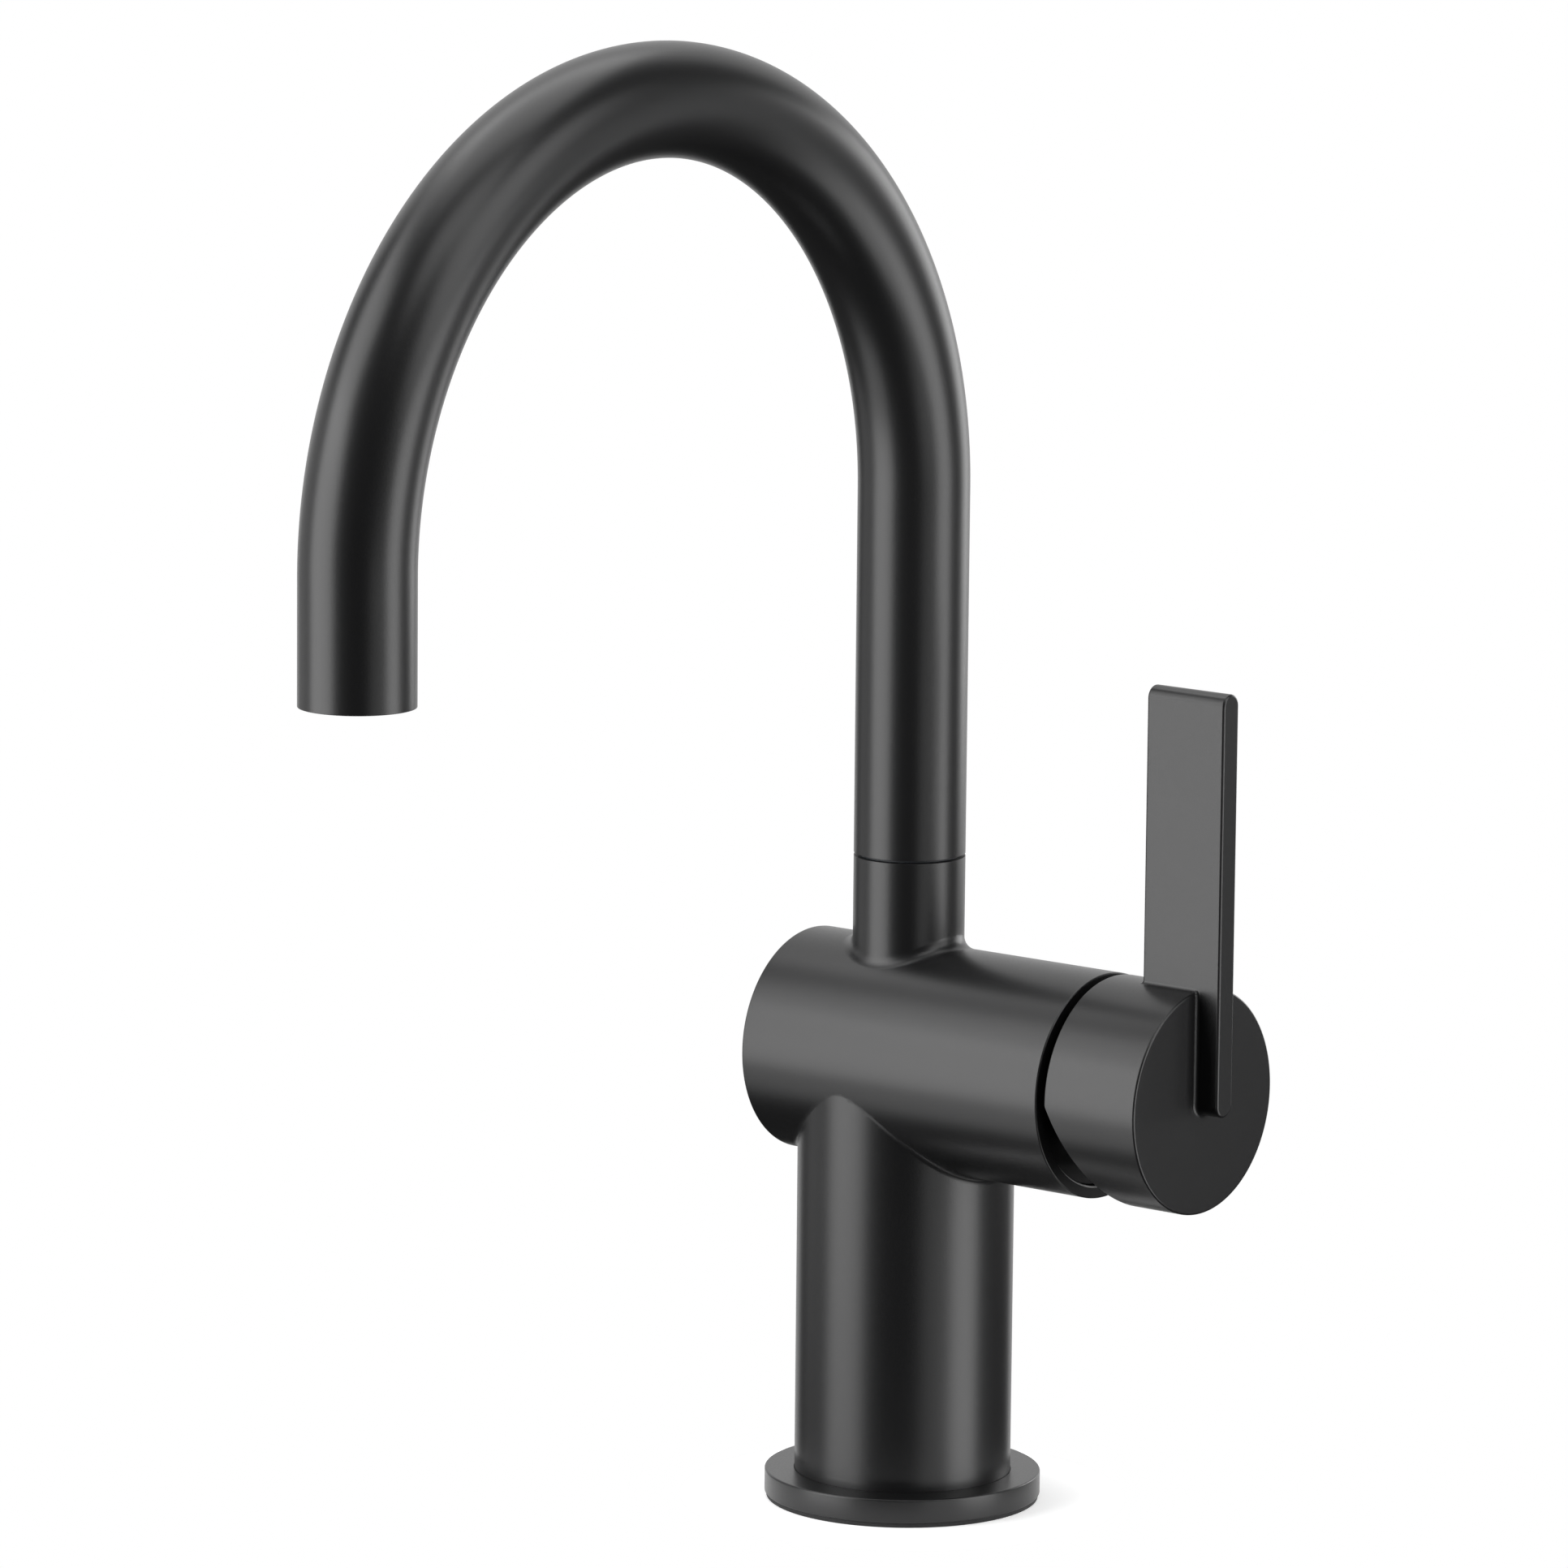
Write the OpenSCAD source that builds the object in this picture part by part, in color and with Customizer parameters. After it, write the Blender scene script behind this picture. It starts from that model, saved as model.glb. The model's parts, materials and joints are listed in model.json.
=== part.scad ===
// Gooseneck bar faucet: a hooped spout that swivels on a cast body, worked by
// a side lever through a ceramic disc cartridge.
// Origin: on the column axis, at the deck. +Z is up, the spout reaches
// along -Y and the handle is on the +X side. All sizes are in millimetres.

/* [Spout] */
// Outside diameter of the spout tube and of the neck under it
tube_d = 24; // [23:0.5:27]
// Wall of the spout tube
tube_wall = 1.25; // [1:0.05:1.5]
// Reach from the column axis to the outlet axis
reach = 177.3; // [150:0.1:230]
// Height of the centre of the bend above the deck
bend_z = 220.7; // [190:0.1:300]
// Straight tube between the bend and the outlet
outlet_drop = 26.1; // [18:0.1:60]
// Gap that shows between the neck and the spout tube
swivel_gap = 0.8; // [0.5:0.05:1.5]

/* [Body] */
// Diameter of the column
column_d = 46.8; // [45:0.1:50]
// Bore of the hollow column
column_bore_d = 40; // [36:0.5:41]
// Height of the web that closes the top of the column bore
web_z = 66; // [50:0.5:67]
// Diameter of the valve barrel
barrel_d = 48.3; // [47:0.1:54]
// Height of the barrel axis above the deck
valve_z = 97.9; // [97:0.1:108]
// Barrel end on the closed side, from the column axis
barrel_left = 26.3; // [24:0.1:34]
// Barrel end on the handle side, from the column axis
barrel_right = 53.7; // [53.2:0.1:55]
// Height of the top of the neck above the deck
neck_z = 141; // [140:0.1:150]
// Distance of the cartridge seat from the column axis
seat_x = 22; // [21:0.1:22.4]
// Thickness of the wall that carries the cartridge
seat_wall = 16; // [14:0.5:16.5]
// Bore of the mixing chamber
chamber_d = 36; // [32:0.5:37]
// Diameter of the waterways drilled in the body
passage_d = 5; // [4:0.1:5.5]
// Depth of the recess at the mouth of the barrel
mouth_depth = 2.5; // [2:0.1:2.6]
// Diameter of the recess at the mouth of the barrel
mouth_d = 43; // [42:0.1:43.5]
// Thickness of the cap that closes the chamber
cap_t = 4; // [3:0.1:6]
// Width of the ledge that the cap rests on
cap_ledge = 1.5; // [1:0.1:2]

/* [Base] */
// Diameter of the base plate
plate_d = 59.7; // [56:0.1:70]
// Thickness of the base plate
plate_h = 5.2; // [4:0.1:8]
// Depth of the seat in the plate that holds the column
plate_seat = 2; // [1:0.1:2.5]
// Rounding of the upper edge of the plate
plate_round = 0.6; // [0.3:0.1:1.2]
// Thickness of the gasket under the plate
gasket_h = 1; // [0.8:0.1:2]
// How far the gasket edge is set back under the plate
gasket_inset = 0.4; // [0.2:0.1:1]

/* [Connections] */
// Tapped bore of each hose port
port_bore_d = 9; // [8:0.1:9]
// Depth of each hose port
port_depth = 9; // [8:0.1:9.5]
// Distance of the hose ports from the column axis, towards the handle
port_x = 8; // [7.5:0.1:8.5]
// Distance of each hose port from the middle plane
port_y = 9; // [8:0.1:9.5]
// Tapped bore for the fixing stud
stud_bore_d = 6.8; // [6:0.1:7]
// Depth of the stud bore
stud_depth = 11; // [9:0.1:11.5]
// Distance of the stud from the column axis, away from the handle
stud_x = 9; // [8:0.1:11]

/* [Handle] */
// Diameter of the handle hub
hub_d = 48.1; // [47:0.1:54]
// Gap between the barrel and the hub
hub_gap = 2.1; // [1.8:0.1:3]
// Length of the hub along the barrel axis
hub_len = 23.6; // [23:0.1:30]
// Wall of the hub
hub_wall = 3; // [2:0.1:3.5]
// Thickness of the hub face
hub_face = 4; // [3:0.1:5]
// Rounding of the rim of the hub face
hub_round = 0.5; // [0.2:0.1:1]
// Slope of the cut that lets the hub tip, in degrees
hub_cut_angle = 25.3; // [24:0.1:28]
// Thickness of the lever blade
blade_t = 5.3; // [4:0.1:7]
// Width of the lever blade
blade_w = 20.1; // [15:0.1:21]
// How far the blade stands proud of the hub face
blade_proud = 5.7; // [4:0.1:8]
// Height of the lever tip above the barrel axis
lever_len = 87.3; // [60:0.1:120]
// Outside diameter of the boss that grips the stem
boss_d = 14; // [13.5:0.1:15]
// Distance from the open end of the hub to the boss
boss_setback = 10.4; // [10:0.1:11]
// Diameter of the handle set screw
handle_screw_d = 5; // [4:0.5:5]
// Length of the handle set screw
handle_screw_len = 6; // [5:0.1:8]
// Depth of the hexagon socket in the handle set screw
handle_hex_depth = 2; // [1.5:0.1:2.5]

/* [Movement] */
// Largest tilt of the lever away from the column, in degrees
flow_angle = 22; // [15:1:22]
// Distance of the tilt pin from the cartridge seat
pivot_x = 23.5; // [23.2:0.1:24]
// Distance of the ball on the stem from the tilt pin
stem_arm = 7; // [6.8:0.1:7.2]
// Radius of the ball on the stem
ball_r = 2.3; // [2:0.1:2.4]
// Radius of the arm between the ball and the pin
arm_r = 1.9; // [1.5:0.1:2]
// Radius of the eye around the pin
eye_r = 4.2; // [4:0.1:4.4]
// Width across the square of the stem
stem_sq = 8; // [7:0.1:8.2]
// Diameter of the tilt pin
pin_d = 3; // [2.5:0.1:3.5]
// Length of the tilt pin
pin_len = 17; // [14:0.5:18]

/* [Cartridge] */
// Diameter of the cartridge
cart_d = 35; // [34.5:0.1:35.5]
// Length of the full diameter of the cartridge shell
shell_len = 23; // [22.6:0.1:23.2]
// Length of the shell with its reduced top
shell_top = 26.5; // [26:0.1:27]
// Thickness of the shell's shoulder
shell_lid = 2.2; // [1.8:0.1:2.4]
// Wall of the cartridge shell
shell_wall = 2.5; // [2:0.1:2.8]
// Diameter of the reduced top of the shell
shell_neck_d = 28; // [27:0.1:29]
// Thickness of the cartridge base
cart_base_t = 5; // [4.7:0.1:5.2]
// Thickness of the fixed ceramic disc
fixed_disc_t = 4; // [3.5:0.1:4]
// Diameter of the fixed ceramic disc
fixed_disc_d = 27; // [26:0.1:29]
// Thickness of the moving ceramic disc
moving_disc_t = 4.6; // [4.2:0.1:4.7]
// Diameter of the moving ceramic disc
moving_disc_d = 23; // [22.5:0.1:23.5]
// Depth of the mixing hollow in the moving disc
mix_depth = 2.2; // [1.5:0.1:2.6]
// Radius of the mixing hollow
mix_r = 9; // [8.5:0.1:9.5]
// Sealing land between the mixing hollow and the shut inlets
mix_land = 0.8; // [0.5:0.1:1.2]
// Diameter of the disc carrier
carrier_d = 26; // [25.5:0.1:26.4]
// Thickness of the disc carrier
carrier_t = 4; // [3.8:0.1:4]
// How deep the moving disc sits in its carrier
disc_recess = 0.8; // [0.6:0.1:1]
// Height of the tongue on the carrier
tongue_t = 2; // [1.8:0.1:2.2]
// Width of the tongue on the carrier
tongue_w = 9; // [8.5:0.1:9.5]
// Length of the tongue on the carrier
tongue_len = 16; // [14:0.5:20]
// Widening of the pocket above the ball
pocket_flare = 2.2; // [1.8:0.1:2.4]
// Diameter of the waterways through the cartridge
port_d = 6; // [5:0.1:6]
// Distance of each inlet from the middle plane
inlet_y = 5.5; // [5.2:0.1:5.6]
// Distance of the inlets above the barrel axis
inlet_high = 4; // [3.8:0.1:4.2]
// Distance of the outlet below the barrel axis
outlet_low = 6.5; // [6:0.1:6.8]
// Wall of the rubber port seals
seal_wall = 1.1; // [0.8:0.1:1.2]
// How far the port seals stand proud of the cartridge base
seal_proud = 0.3; // [0.2:0.1:0.5]
// Diameter of the neck of the rotor
rotor_neck_d = 19.8; // [19:0.1:20.4]
// Height of the rotor above the cartridge seat
rotor_top = 29; // [28:0.1:29.5]
// Cord diameter of the rotor seal
seal_cord = 1.5; // [1.2:0.1:1.8]
// Thickness of the temperature ring
limit_t = 1; // [0.8:0.1:1.5]
// Size of the teeth on the temperature ring
tooth_size = 0.8; // [0.5:0.1:1]
// Number of teeth on the temperature ring
limit_teeth = 24; // [12:1:32]
// Thread diameter of the cartridge nut
nut_d = 38; // [37.5:0.1:39]
// Length of the cartridge nut
nut_len = 6; // [5:0.1:6.2]
// Width of the driving slots in the nut
nut_slot = 4; // [3:0.1:6]
// Depth of the driving slots in the nut
nut_slot_depth = 1.5; // [1:0.1:2]
// Length of thread that runs past the nut into the body
nut_lead = 1.5; // [1:0.1:3]
// Outside diameter of the trim collar
collar_d = 32; // [31:0.1:32.6]
// How far the trim collar stands out of the barrel
collar_proud = 6; // [4:0.1:6.2]
// Wall of the trim collar
collar_wall = 1.6; // [1.2:0.1:2]
// Width of the lip at the end of the trim collar
collar_lip = 3.6; // [3:0.1:4]
// Thickness of the flange of the trim collar
collar_flange = 1.2; // [1:0.1:1.4]

/* [Swivel] */
// Diameter of the swivel stem
stem_d = 18; // [17:0.1:18]
// Bore of the swivel stem
stem_bore_d = 11; // [9:0.1:11.5]
// Length of the stem below the spout tube
stem_len = 25; // [24.5:0.1:28]
// Length of the stem brazed inside the spout tube
braze_len = 12; // [8:0.5:20]
// Length of the bearing sleeve in the neck
sleeve_len = 5; // [3:0.1:5.5]
// Wall of the bearing sleeve
sleeve_wall = 0.9; // [0.7:0.05:1]
// Setback of the dark ring in the joint
joint_inset = 0.8; // [0.6:0.1:1.2]
// Cord diameter of the stem seals
ring_cord = 2; // [1.6:0.1:2]
// Height of the grooves for the stem seals
ring_groove_h = 2.4; // [2.2:0.1:2.6]
// Depth of the first stem seal below the top of the neck
ring_depth = 13; // [12.5:0.1:13.5]
// Distance between the stem seals
ring_pitch = 4; // [3.6:0.1:4]
// Height of the lower guide ring
guide_h = 2.5; // [1.5:0.1:2.5]
// Depth of the groove for the guide ring
guide_depth = 1.2; // [1:0.1:1.4]
// Width of the split in the guide ring
guide_split = 1; // [0.5:0.1:2]
// Depth of the spout set screw below the top of the neck
screw_depth = 8.5; // [8.2:0.1:8.8]
// Diameter of the spout set screw
spout_screw_d = 4; // [3:0.5:4]
// Diameter of the point of the spout set screw
screw_point_d = 2.2; // [1.8:0.1:2.4]
// Depth of the groove that the point runs in
screw_groove = 1.8; // [1.5:0.1:2]
// How far the spout set screw lies below the surface of the neck
screw_inset = 0.5; // [0.4:0.1:0.7]
// Depth of the hexagon socket in the spout set screw
spout_hex_depth = 1.2; // [0.8:0.1:1.4]

/* [Outlet] */
// Length of the threaded bush brazed into the outlet
bush_len = 10; // [9.5:0.1:14]
// Bore of the threaded bush
bush_bore_d = 18.6; // [18:0.1:19]
// Thickness of the lip inside the bush
bush_lip = 1; // [0.8:0.1:1.5]
// Width of the lip inside the bush
lip_w = 1.8; // [1.4:0.1:2]
// How far the bush is recessed in the tube
outlet_recess = 0.6; // [0.3:0.1:1.5]
// Height of the aerator housing
aerator_h = 7; // [6.5:0.1:7]
// Wall of the aerator housing
aerator_wall = 1.3; // [1:0.1:1.6]
// Thickness of the floor of the aerator housing
aerator_floor = 1.4; // [1:0.1:1.6]
// Width of the ledge that holds the screens
ledge_w = 0.8; // [0.6:0.1:1.2]
// Width of each key slot in the aerator housing
key_w = 3; // [2:0.1:4]
// Depth of each key slot in the aerator housing
key_depth = 0.9; // [0.6:0.1:1]
// Thickness of the aerator seal
aerator_seal_t = 1.5; // [1:0.1:1.5]
// Height of the jet insert
insert_h = 3; // [2:0.1:3]
// Wall of the jet insert
insert_wall = 1.2; // [1:0.1:1.5]
// Diameter of the jets
jet_d = 0.9; // [0.6:0.1:1.2]
// Number of jets
jet_count = 12; // [8:1:16]
// Thickness of each outlet screen
screen_t = 0.4; // [0.3:0.1:0.5]
// Pitch of the outlet screens
screen_gap = 0.9; // [0.8:0.1:1]
// Diameter of the holes in the outlet screens
screen_hole_d = 1.1; // [0.8:0.05:1.2]
// Distance between the hole rings of a screen
screen_step = 1.75; // [1.5:0.05:1.8]
// Number of hole rings around the middle of a screen
screen_rings = 3; // [2:1:3]

/* [Clearances] */
// Gap filled by braze
braze_gap = 0.05; // [0.02:0.01:0.1]
// Gap around pieces that are pushed or screwed home
seat_gap = 0.1; // [0.05:0.01:0.15]
// Gap between faces that slide
slide_gap = 0.05; // [0.03:0.01:0.08]
// Gap around pieces that turn
run_gap = 0.06; // [0.04:0.01:0.08]
// Gap around pieces that never touch
free_gap = 0.2; // [0.15:0.01:0.25]

/* [Hidden] */

// How far a cutting solid runs past the face that it cuts
cut = 1;

// Spout and swivel
tube_r = tube_d / 2;
tube_bore_r = tube_r - tube_wall;
bend_r = reach / 2;
spout_z = neck_z + swivel_gap;
outlet_z = bend_z - outlet_drop;
stem_r = stem_d / 2;
socket_r = stem_r + run_gap + slide_gap / 2;
sleeve_r = socket_r + sleeve_wall;
ring_groove_r = socket_r - slide_gap - ring_cord;
screw_groove_r = stem_r - screw_groove;
screw_groove_h = screw_point_d + 2 * free_gap;
guide_groove_r = stem_r - guide_depth;
guide_z = spout_z - stem_len + guide_h;

// Body
column_r = column_d / 2;
column_z = gasket_h + plate_h - plate_seat;
barrel_r = barrel_d / 2;

// Cartridge, measured along the barrel from its seat
cart_r = cart_d / 2;
cart_bore_r = cart_r + seat_gap;
shell_bore_r = cart_r - shell_wall;
shoulder_x = seat_x + shell_len;
disc_travel = stem_arm * flow_angle * PI / 180;
disc_x0 = cart_base_t + fixed_disc_t + slide_gap;
disc_x1 = disc_x0 + moving_disc_t;
// Edge of the mixing hollow that uncovers the inlets, from the disc axis
mix_edge = port_d / 2 - inlet_high + mix_land - disc_travel / 2;
carrier_x0 = disc_x1 - disc_recess;
carrier_x1 = carrier_x0 + carrier_t;
rotor_x0 = carrier_x1 + slide_gap;
rotor_x1 = shell_len - shell_lid - slide_gap;
rotor_r = shell_bore_r - run_gap;
ball_x = pivot_x - stem_arm;
pocket_r = ball_r + free_gap;
slot_w = stem_sq + 2 * free_gap;
swing_down = (rotor_top - pivot_x) * tan(flow_angle) + stem_sq / 2 / cos(flow_angle) + 2 * free_gap;
swing_up = max(eye_r, (pivot_x - rotor_x0) * tan(flow_angle) + arm_r / cos(flow_angle)) + 2 * free_gap;
seal_room = seal_cord + seat_gap;
limit_r = shell_neck_d / 2 - tooth_size - free_gap;
collar_x0 = max(barrel_right - mouth_depth, shoulder_x + nut_len);
collar_x1 = barrel_right + collar_proud;

// Handle
hub_r = hub_d / 2;
hub_x0 = barrel_right + hub_gap;
hub_x1 = hub_x0 + hub_len;
blade_x1 = hub_x1 + blade_proud;
boss_x0 = hub_x0 + boss_setback;
boss_x1 = hub_x1 - hub_face;
stem_end_x = boss_x1 - free_gap;

// Outlet
bush_r = tube_bore_r - braze_gap;
bush_z = outlet_z + outlet_recess;
aerator_r = bush_bore_d / 2 - slide_gap;
aerator_bore_r = aerator_r - aerator_wall;
aerator_z1 = bush_z + bush_len - bush_lip - aerator_seal_t;
aerator_z0 = aerator_z1 - aerator_h;
insert_z = aerator_z1 - insert_h;

$fn = 72;

BLACK = "#2c2c2d";
BRASS = "#b5975a";
STEEL = "#b9bcc0";
CERAMIC = "#e9e6df";
PLASTIC = "#d9dad8";
DARK_PLASTIC = "#3a3d42";
RED_PLASTIC = "#b3382c";
RUBBER = "#1f1f20";

// A ring or tube around Z
module ring(outer_r, inner_r, from, to)
    difference() {
        disc(outer_r, from, to);
        disc(inner_r, from - cut, to + cut);
    }

// A round disc or rod around Z
module disc(r, from, to)
    translate([0, 0, from])
        cylinder(r = r, h = to - from);

// A round rod from one point to another
module rod(from, to, r) {
    step = to - from;
    span = norm(step);
    translate(from)
        rotate([0, acos(step.z / span), atan2(step.y, step.x)])
            cylinder(r = r, h = span);
}

// A block between two opposite corners
module block(from, to)
    translate(from)
        cube(to - from);

// Places children with their Z axis along the barrel, measured from the column axis
module on_barrel()
    translate([0, 0, valve_z])
        rotate([0, 90, 0])
            children();

// The same, measured from the cartridge seat
module on_seat()
    on_barrel()
        translate([0, 0, seat_x])
            children();

// Places children on the outlet axis
module at_outlet()
    translate([0, -reach, 0])
        children();

// A seal ring of round cord
module cord_ring(r, cord, z)
    translate([0, 0, z])
        rotate_extrude()
            translate([r, 0])
                circle(d = cord, $fn = 24);

// The three waterways of the cartridge, seen along the barrel
module at_ports() {
    for (side = [-1, 1])
        translate([-inlet_high, side * inlet_y, 0])
            children();
    translate([outlet_low, 0, 0])
        children();
}

// A hexagon socket around Z, half as wide across its flats as the screw is thick
module hex_socket(screw_d, from, to)
    translate([0, 0, from])
        cylinder(r = screw_d / 2 / sqrt(3), h = to - from, $fn = 6);

// Base plate with a rounded upper edge and a seat for the column
module base_plate()
    color(BLACK)
        translate([0, 0, gasket_h])
            difference() {
                rotate_extrude()
                    union() {
                        square([plate_d / 2, plate_h - plate_round]);
                        square([plate_d / 2 - plate_round, plate_h]);
                        translate([plate_d / 2 - plate_round, plate_h - plate_round])
                            circle(r = plate_round);
                    }
                disc(column_bore_d / 2, -cut, plate_h + cut);
                disc(column_r + slide_gap, plate_h - plate_seat, plate_h + cut);
            }

module base_gasket()
    color(RUBBER)
        ring(plate_d / 2 - gasket_inset, column_bore_d / 2, 0, gasket_h);

// Outside of the casting: column, barrel and neck
module body_outside() {
    disc(column_r, column_z, valve_z);
    disc(tube_r, valve_z, neck_z);
    on_barrel()
        disc(barrel_r, -barrel_left, barrel_right);
}

// Room for the cartridge, its nut, the mixing chamber and the swivel stem
module body_hollows() {
    disc(column_bore_d / 2, column_z - cut, web_z);
    on_barrel() {
        disc(cart_bore_r, seat_x, barrel_right + cut);
        disc(nut_d / 2 + seat_gap, shoulder_x - nut_lead, barrel_right + cut);
        disc(mouth_d / 2, barrel_right - mouth_depth, barrel_right + cut);
        disc(chamber_d / 2, -barrel_left + cap_t, seat_x - seat_wall);
        disc(chamber_d / 2 + cap_ledge, -barrel_left - cut, -barrel_left + cap_t);
    }
    disc(socket_r, valve_z, neck_z + cut);
    disc(sleeve_r + seat_gap, neck_z - sleeve_len - seat_gap, neck_z + cut);
}

// Waterways and tapped holes
module body_drillings() {
    for (side = [-1, 1]) {
        port = [port_x, side * port_y, web_z + port_depth - port_d];
        inlet = [seat_x - port_d / 2, side * inlet_y, valve_z + inlet_high];
        translate([port_x, side * port_y, 0])
            disc(port_bore_d / 2, web_z - cut, web_z + port_depth);
        rod(port, inlet, passage_d / 2);
    }
    on_seat() {
        for (side = [-1, 1])
            translate([-inlet_high, side * inlet_y, 0])
                disc(port_d / 2, -port_d, cut);
        translate([outlet_low, 0, 0])
            disc(port_d / 2, -seat_wall - cut, cut);
    }
    translate([-stud_x, 0, 0])
        disc(stud_bore_d / 2, web_z - cut, web_z + stud_depth);
    spout_screw_axis()
        disc(spout_screw_d / 2 + slide_gap, 0, tube_d);
}

module body_casting()
    color(BLACK)
        difference() {
            body_outside();
            body_hollows();
            body_drillings();
        }

// Cap pressed and brazed into the closed end of the barrel
module chamber_cap()
    color(BLACK)
        on_barrel()
            disc(chamber_d / 2 + cap_ledge - braze_gap, -barrel_left, -barrel_left + cap_t);

module cartridge_base()
    color(PLASTIC)
        on_seat()
            difference() {
                disc(cart_r, seal_proud, cart_base_t);
                at_ports()
                    disc(port_d / 2 + seal_wall + slide_gap, -cut, cart_base_t + cut);
            }

// Bushes of rubber that seal each waterway on both faces of the base
module port_seals()
    color(RUBBER)
        on_seat()
            at_ports()
                ring(port_d / 2 + seal_wall, port_d / 2, 0, cart_base_t);

module fixed_disc()
    color(CERAMIC)
        on_seat()
            difference() {
                disc(fixed_disc_d / 2, cart_base_t, cart_base_t + fixed_disc_t);
                at_ports()
                    disc(port_d / 2, 0, cart_base_t + fixed_disc_t + cut);
            }

module cartridge_shell()
    color(PLASTIC)
        on_seat()
            difference() {
                union() {
                    disc(cart_r, cart_base_t, shell_len);
                    disc(shell_neck_d / 2, shell_len, shell_top);
                }
                disc(shell_bore_r, cart_base_t - cut, shell_len - shell_lid);
                disc(rotor_neck_d / 2 + run_gap, cart_base_t, shell_top + cut);
                disc(rotor_neck_d / 2 + seal_room, shell_top - seal_room, shell_top + cut);
            }

// Seal between the turning neck and the shell
module rotor_seal()
    color(RUBBER)
        on_seat()
            cord_ring(rotor_neck_d / 2 + run_gap + seal_cord / 2, seal_cord, shell_top - seal_room / 2);

// Toothed ring that limits how far the handle turns towards hot
module temperature_ring()
    color(RED_PLASTIC)
        on_seat()
            difference() {
                union() {
                    disc(limit_r, shell_top, shell_top + limit_t);
                    for (i = [0 : limit_teeth - 1])
                        rotate([0, 0, i * 360 / limit_teeth])
                            block([limit_r - tooth_size, -tooth_size / 2, shell_top],
                                  [limit_r + tooth_size, tooth_size / 2, shell_top + limit_t]);
                }
                disc(rotor_neck_d / 2 + free_gap, shell_top - cut, shell_top + limit_t + cut);
            }

// Threaded ring that holds the cartridge down by its shoulder
module cartridge_nut()
    color(BRASS)
        on_barrel()
            difference() {
                ring(nut_d / 2, shell_neck_d / 2 + seat_gap, shoulder_x, shoulder_x + nut_len);
                for (turn = [0, 90])
                    rotate([0, 0, turn])
                        block([-nut_d, -nut_slot / 2, shoulder_x + nut_len - nut_slot_depth],
                              [nut_d, nut_slot / 2, shoulder_x + nut_len + cut]);
            }

// Smooth collar that covers the nut and reaches into the hub
module trim_collar()
    color(BLACK)
        on_barrel()
            difference() {
                union() {
                    disc(mouth_d / 2 - free_gap, collar_x0, collar_x0 + collar_flange);
                    disc(collar_d / 2, collar_x0, collar_x1);
                }
                disc(collar_d / 2 - collar_wall, collar_x0 - cut, collar_x1 - collar_wall);
                disc(collar_d / 2 - collar_lip, collar_x0, collar_x1 + cut);
            }

// Plain bearing at the top of the neck: sleeve and thrust washer
module neck_bearing()
    color(DARK_PLASTIC)
        difference() {
            union() {
                disc(sleeve_r, neck_z - sleeve_len, neck_z);
                disc(tube_r - joint_inset, neck_z, spout_z - run_gap);
            }
            disc(stem_r + run_gap, neck_z - sleeve_len - cut, spout_z + cut);
        }

// Grub screw at the back of the neck: its point runs in the groove of the stem
module spout_set_screw()
    color(STEEL)
        spout_screw_axis()
            difference() {
                union() {
                    disc(screw_point_d / 2, screw_groove_r + free_gap, socket_r + free_gap);
                    disc(spout_screw_d / 2, socket_r + free_gap, tube_r - screw_inset);
                }
                hex_socket(spout_screw_d, tube_r - screw_inset - spout_hex_depth, tube_r);
            }

// Places children with their Z axis pointing out of the back of the neck
module spout_screw_axis()
    translate([0, 0, neck_z - screw_depth])
        rotate([-90, 0, 0])
            children();

// Bent tube of the spout
module spout_tube()
    color(BLACK)
        difference() {
            tube_path(tube_r, 0);
            tube_path(tube_bore_r, cut);
        }

// Straight, half hoop and drop of one radius, with both ends run on by extra
module tube_path(r, extra) {
    disc(r, spout_z - extra, bend_z);
    at_outlet()
        disc(r, outlet_z - extra, bend_z);
    translate([0, -bend_r, bend_z])
        rotate([90, 0, 90])
            rotate_extrude(angle = 180)
                translate([bend_r, 0])
                    circle(r = r);
}

// Spigot brazed into the tube: it turns in the neck and carries the seals
module swivel_stem()
    color(BRASS)
        difference() {
            union() {
                disc(tube_bore_r - braze_gap, spout_z, spout_z + braze_len);
                disc(stem_r, spout_z - stem_len, spout_z);
            }
            disc(stem_bore_d / 2, spout_z - stem_len - cut, spout_z + braze_len + cut);
            for (i = [0, 1])
                groove(ring_groove_r, ring_groove_h, neck_z - ring_depth - i * ring_pitch);
            groove(screw_groove_r, screw_groove_h, neck_z - screw_depth);
            groove(guide_groove_r, guide_h + 2 * slide_gap, guide_z);
        }

// A ring groove in the stem, centred on a height
module groove(r, h, z)
    ring(stem_r + cut, r, z - h / 2, z + h / 2);

module stem_seals()
    color(RUBBER)
        for (i = [0, 1])
            cord_ring(ring_groove_r + ring_cord / 2, ring_cord, neck_z - ring_depth - i * ring_pitch);

// Split ring that steadies the foot of the stem
module guide_ring()
    color(PLASTIC)
        difference() {
            ring(socket_r - slide_gap, guide_groove_r + slide_gap,
                 guide_z - guide_h / 2, guide_z + guide_h / 2);
            block([0, -guide_split / 2, guide_z - guide_h], [tube_d, guide_split / 2, guide_z + guide_h]);
        }

// Bush brazed into the outlet, with a lip that the aerator seals against
module outlet_bush()
    color(BRASS)
        at_outlet()
            difference() {
                disc(bush_r, bush_z, bush_z + bush_len);
                disc(bush_bore_d / 2, bush_z - cut, bush_z + bush_len - bush_lip);
                disc(bush_bore_d / 2 - lip_w, bush_z, bush_z + bush_len + cut);
            }

module aerator_seal()
    color(RUBBER)
        at_outlet()
            ring(aerator_r, aerator_bore_r, aerator_z1, aerator_z1 + aerator_seal_t);

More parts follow.
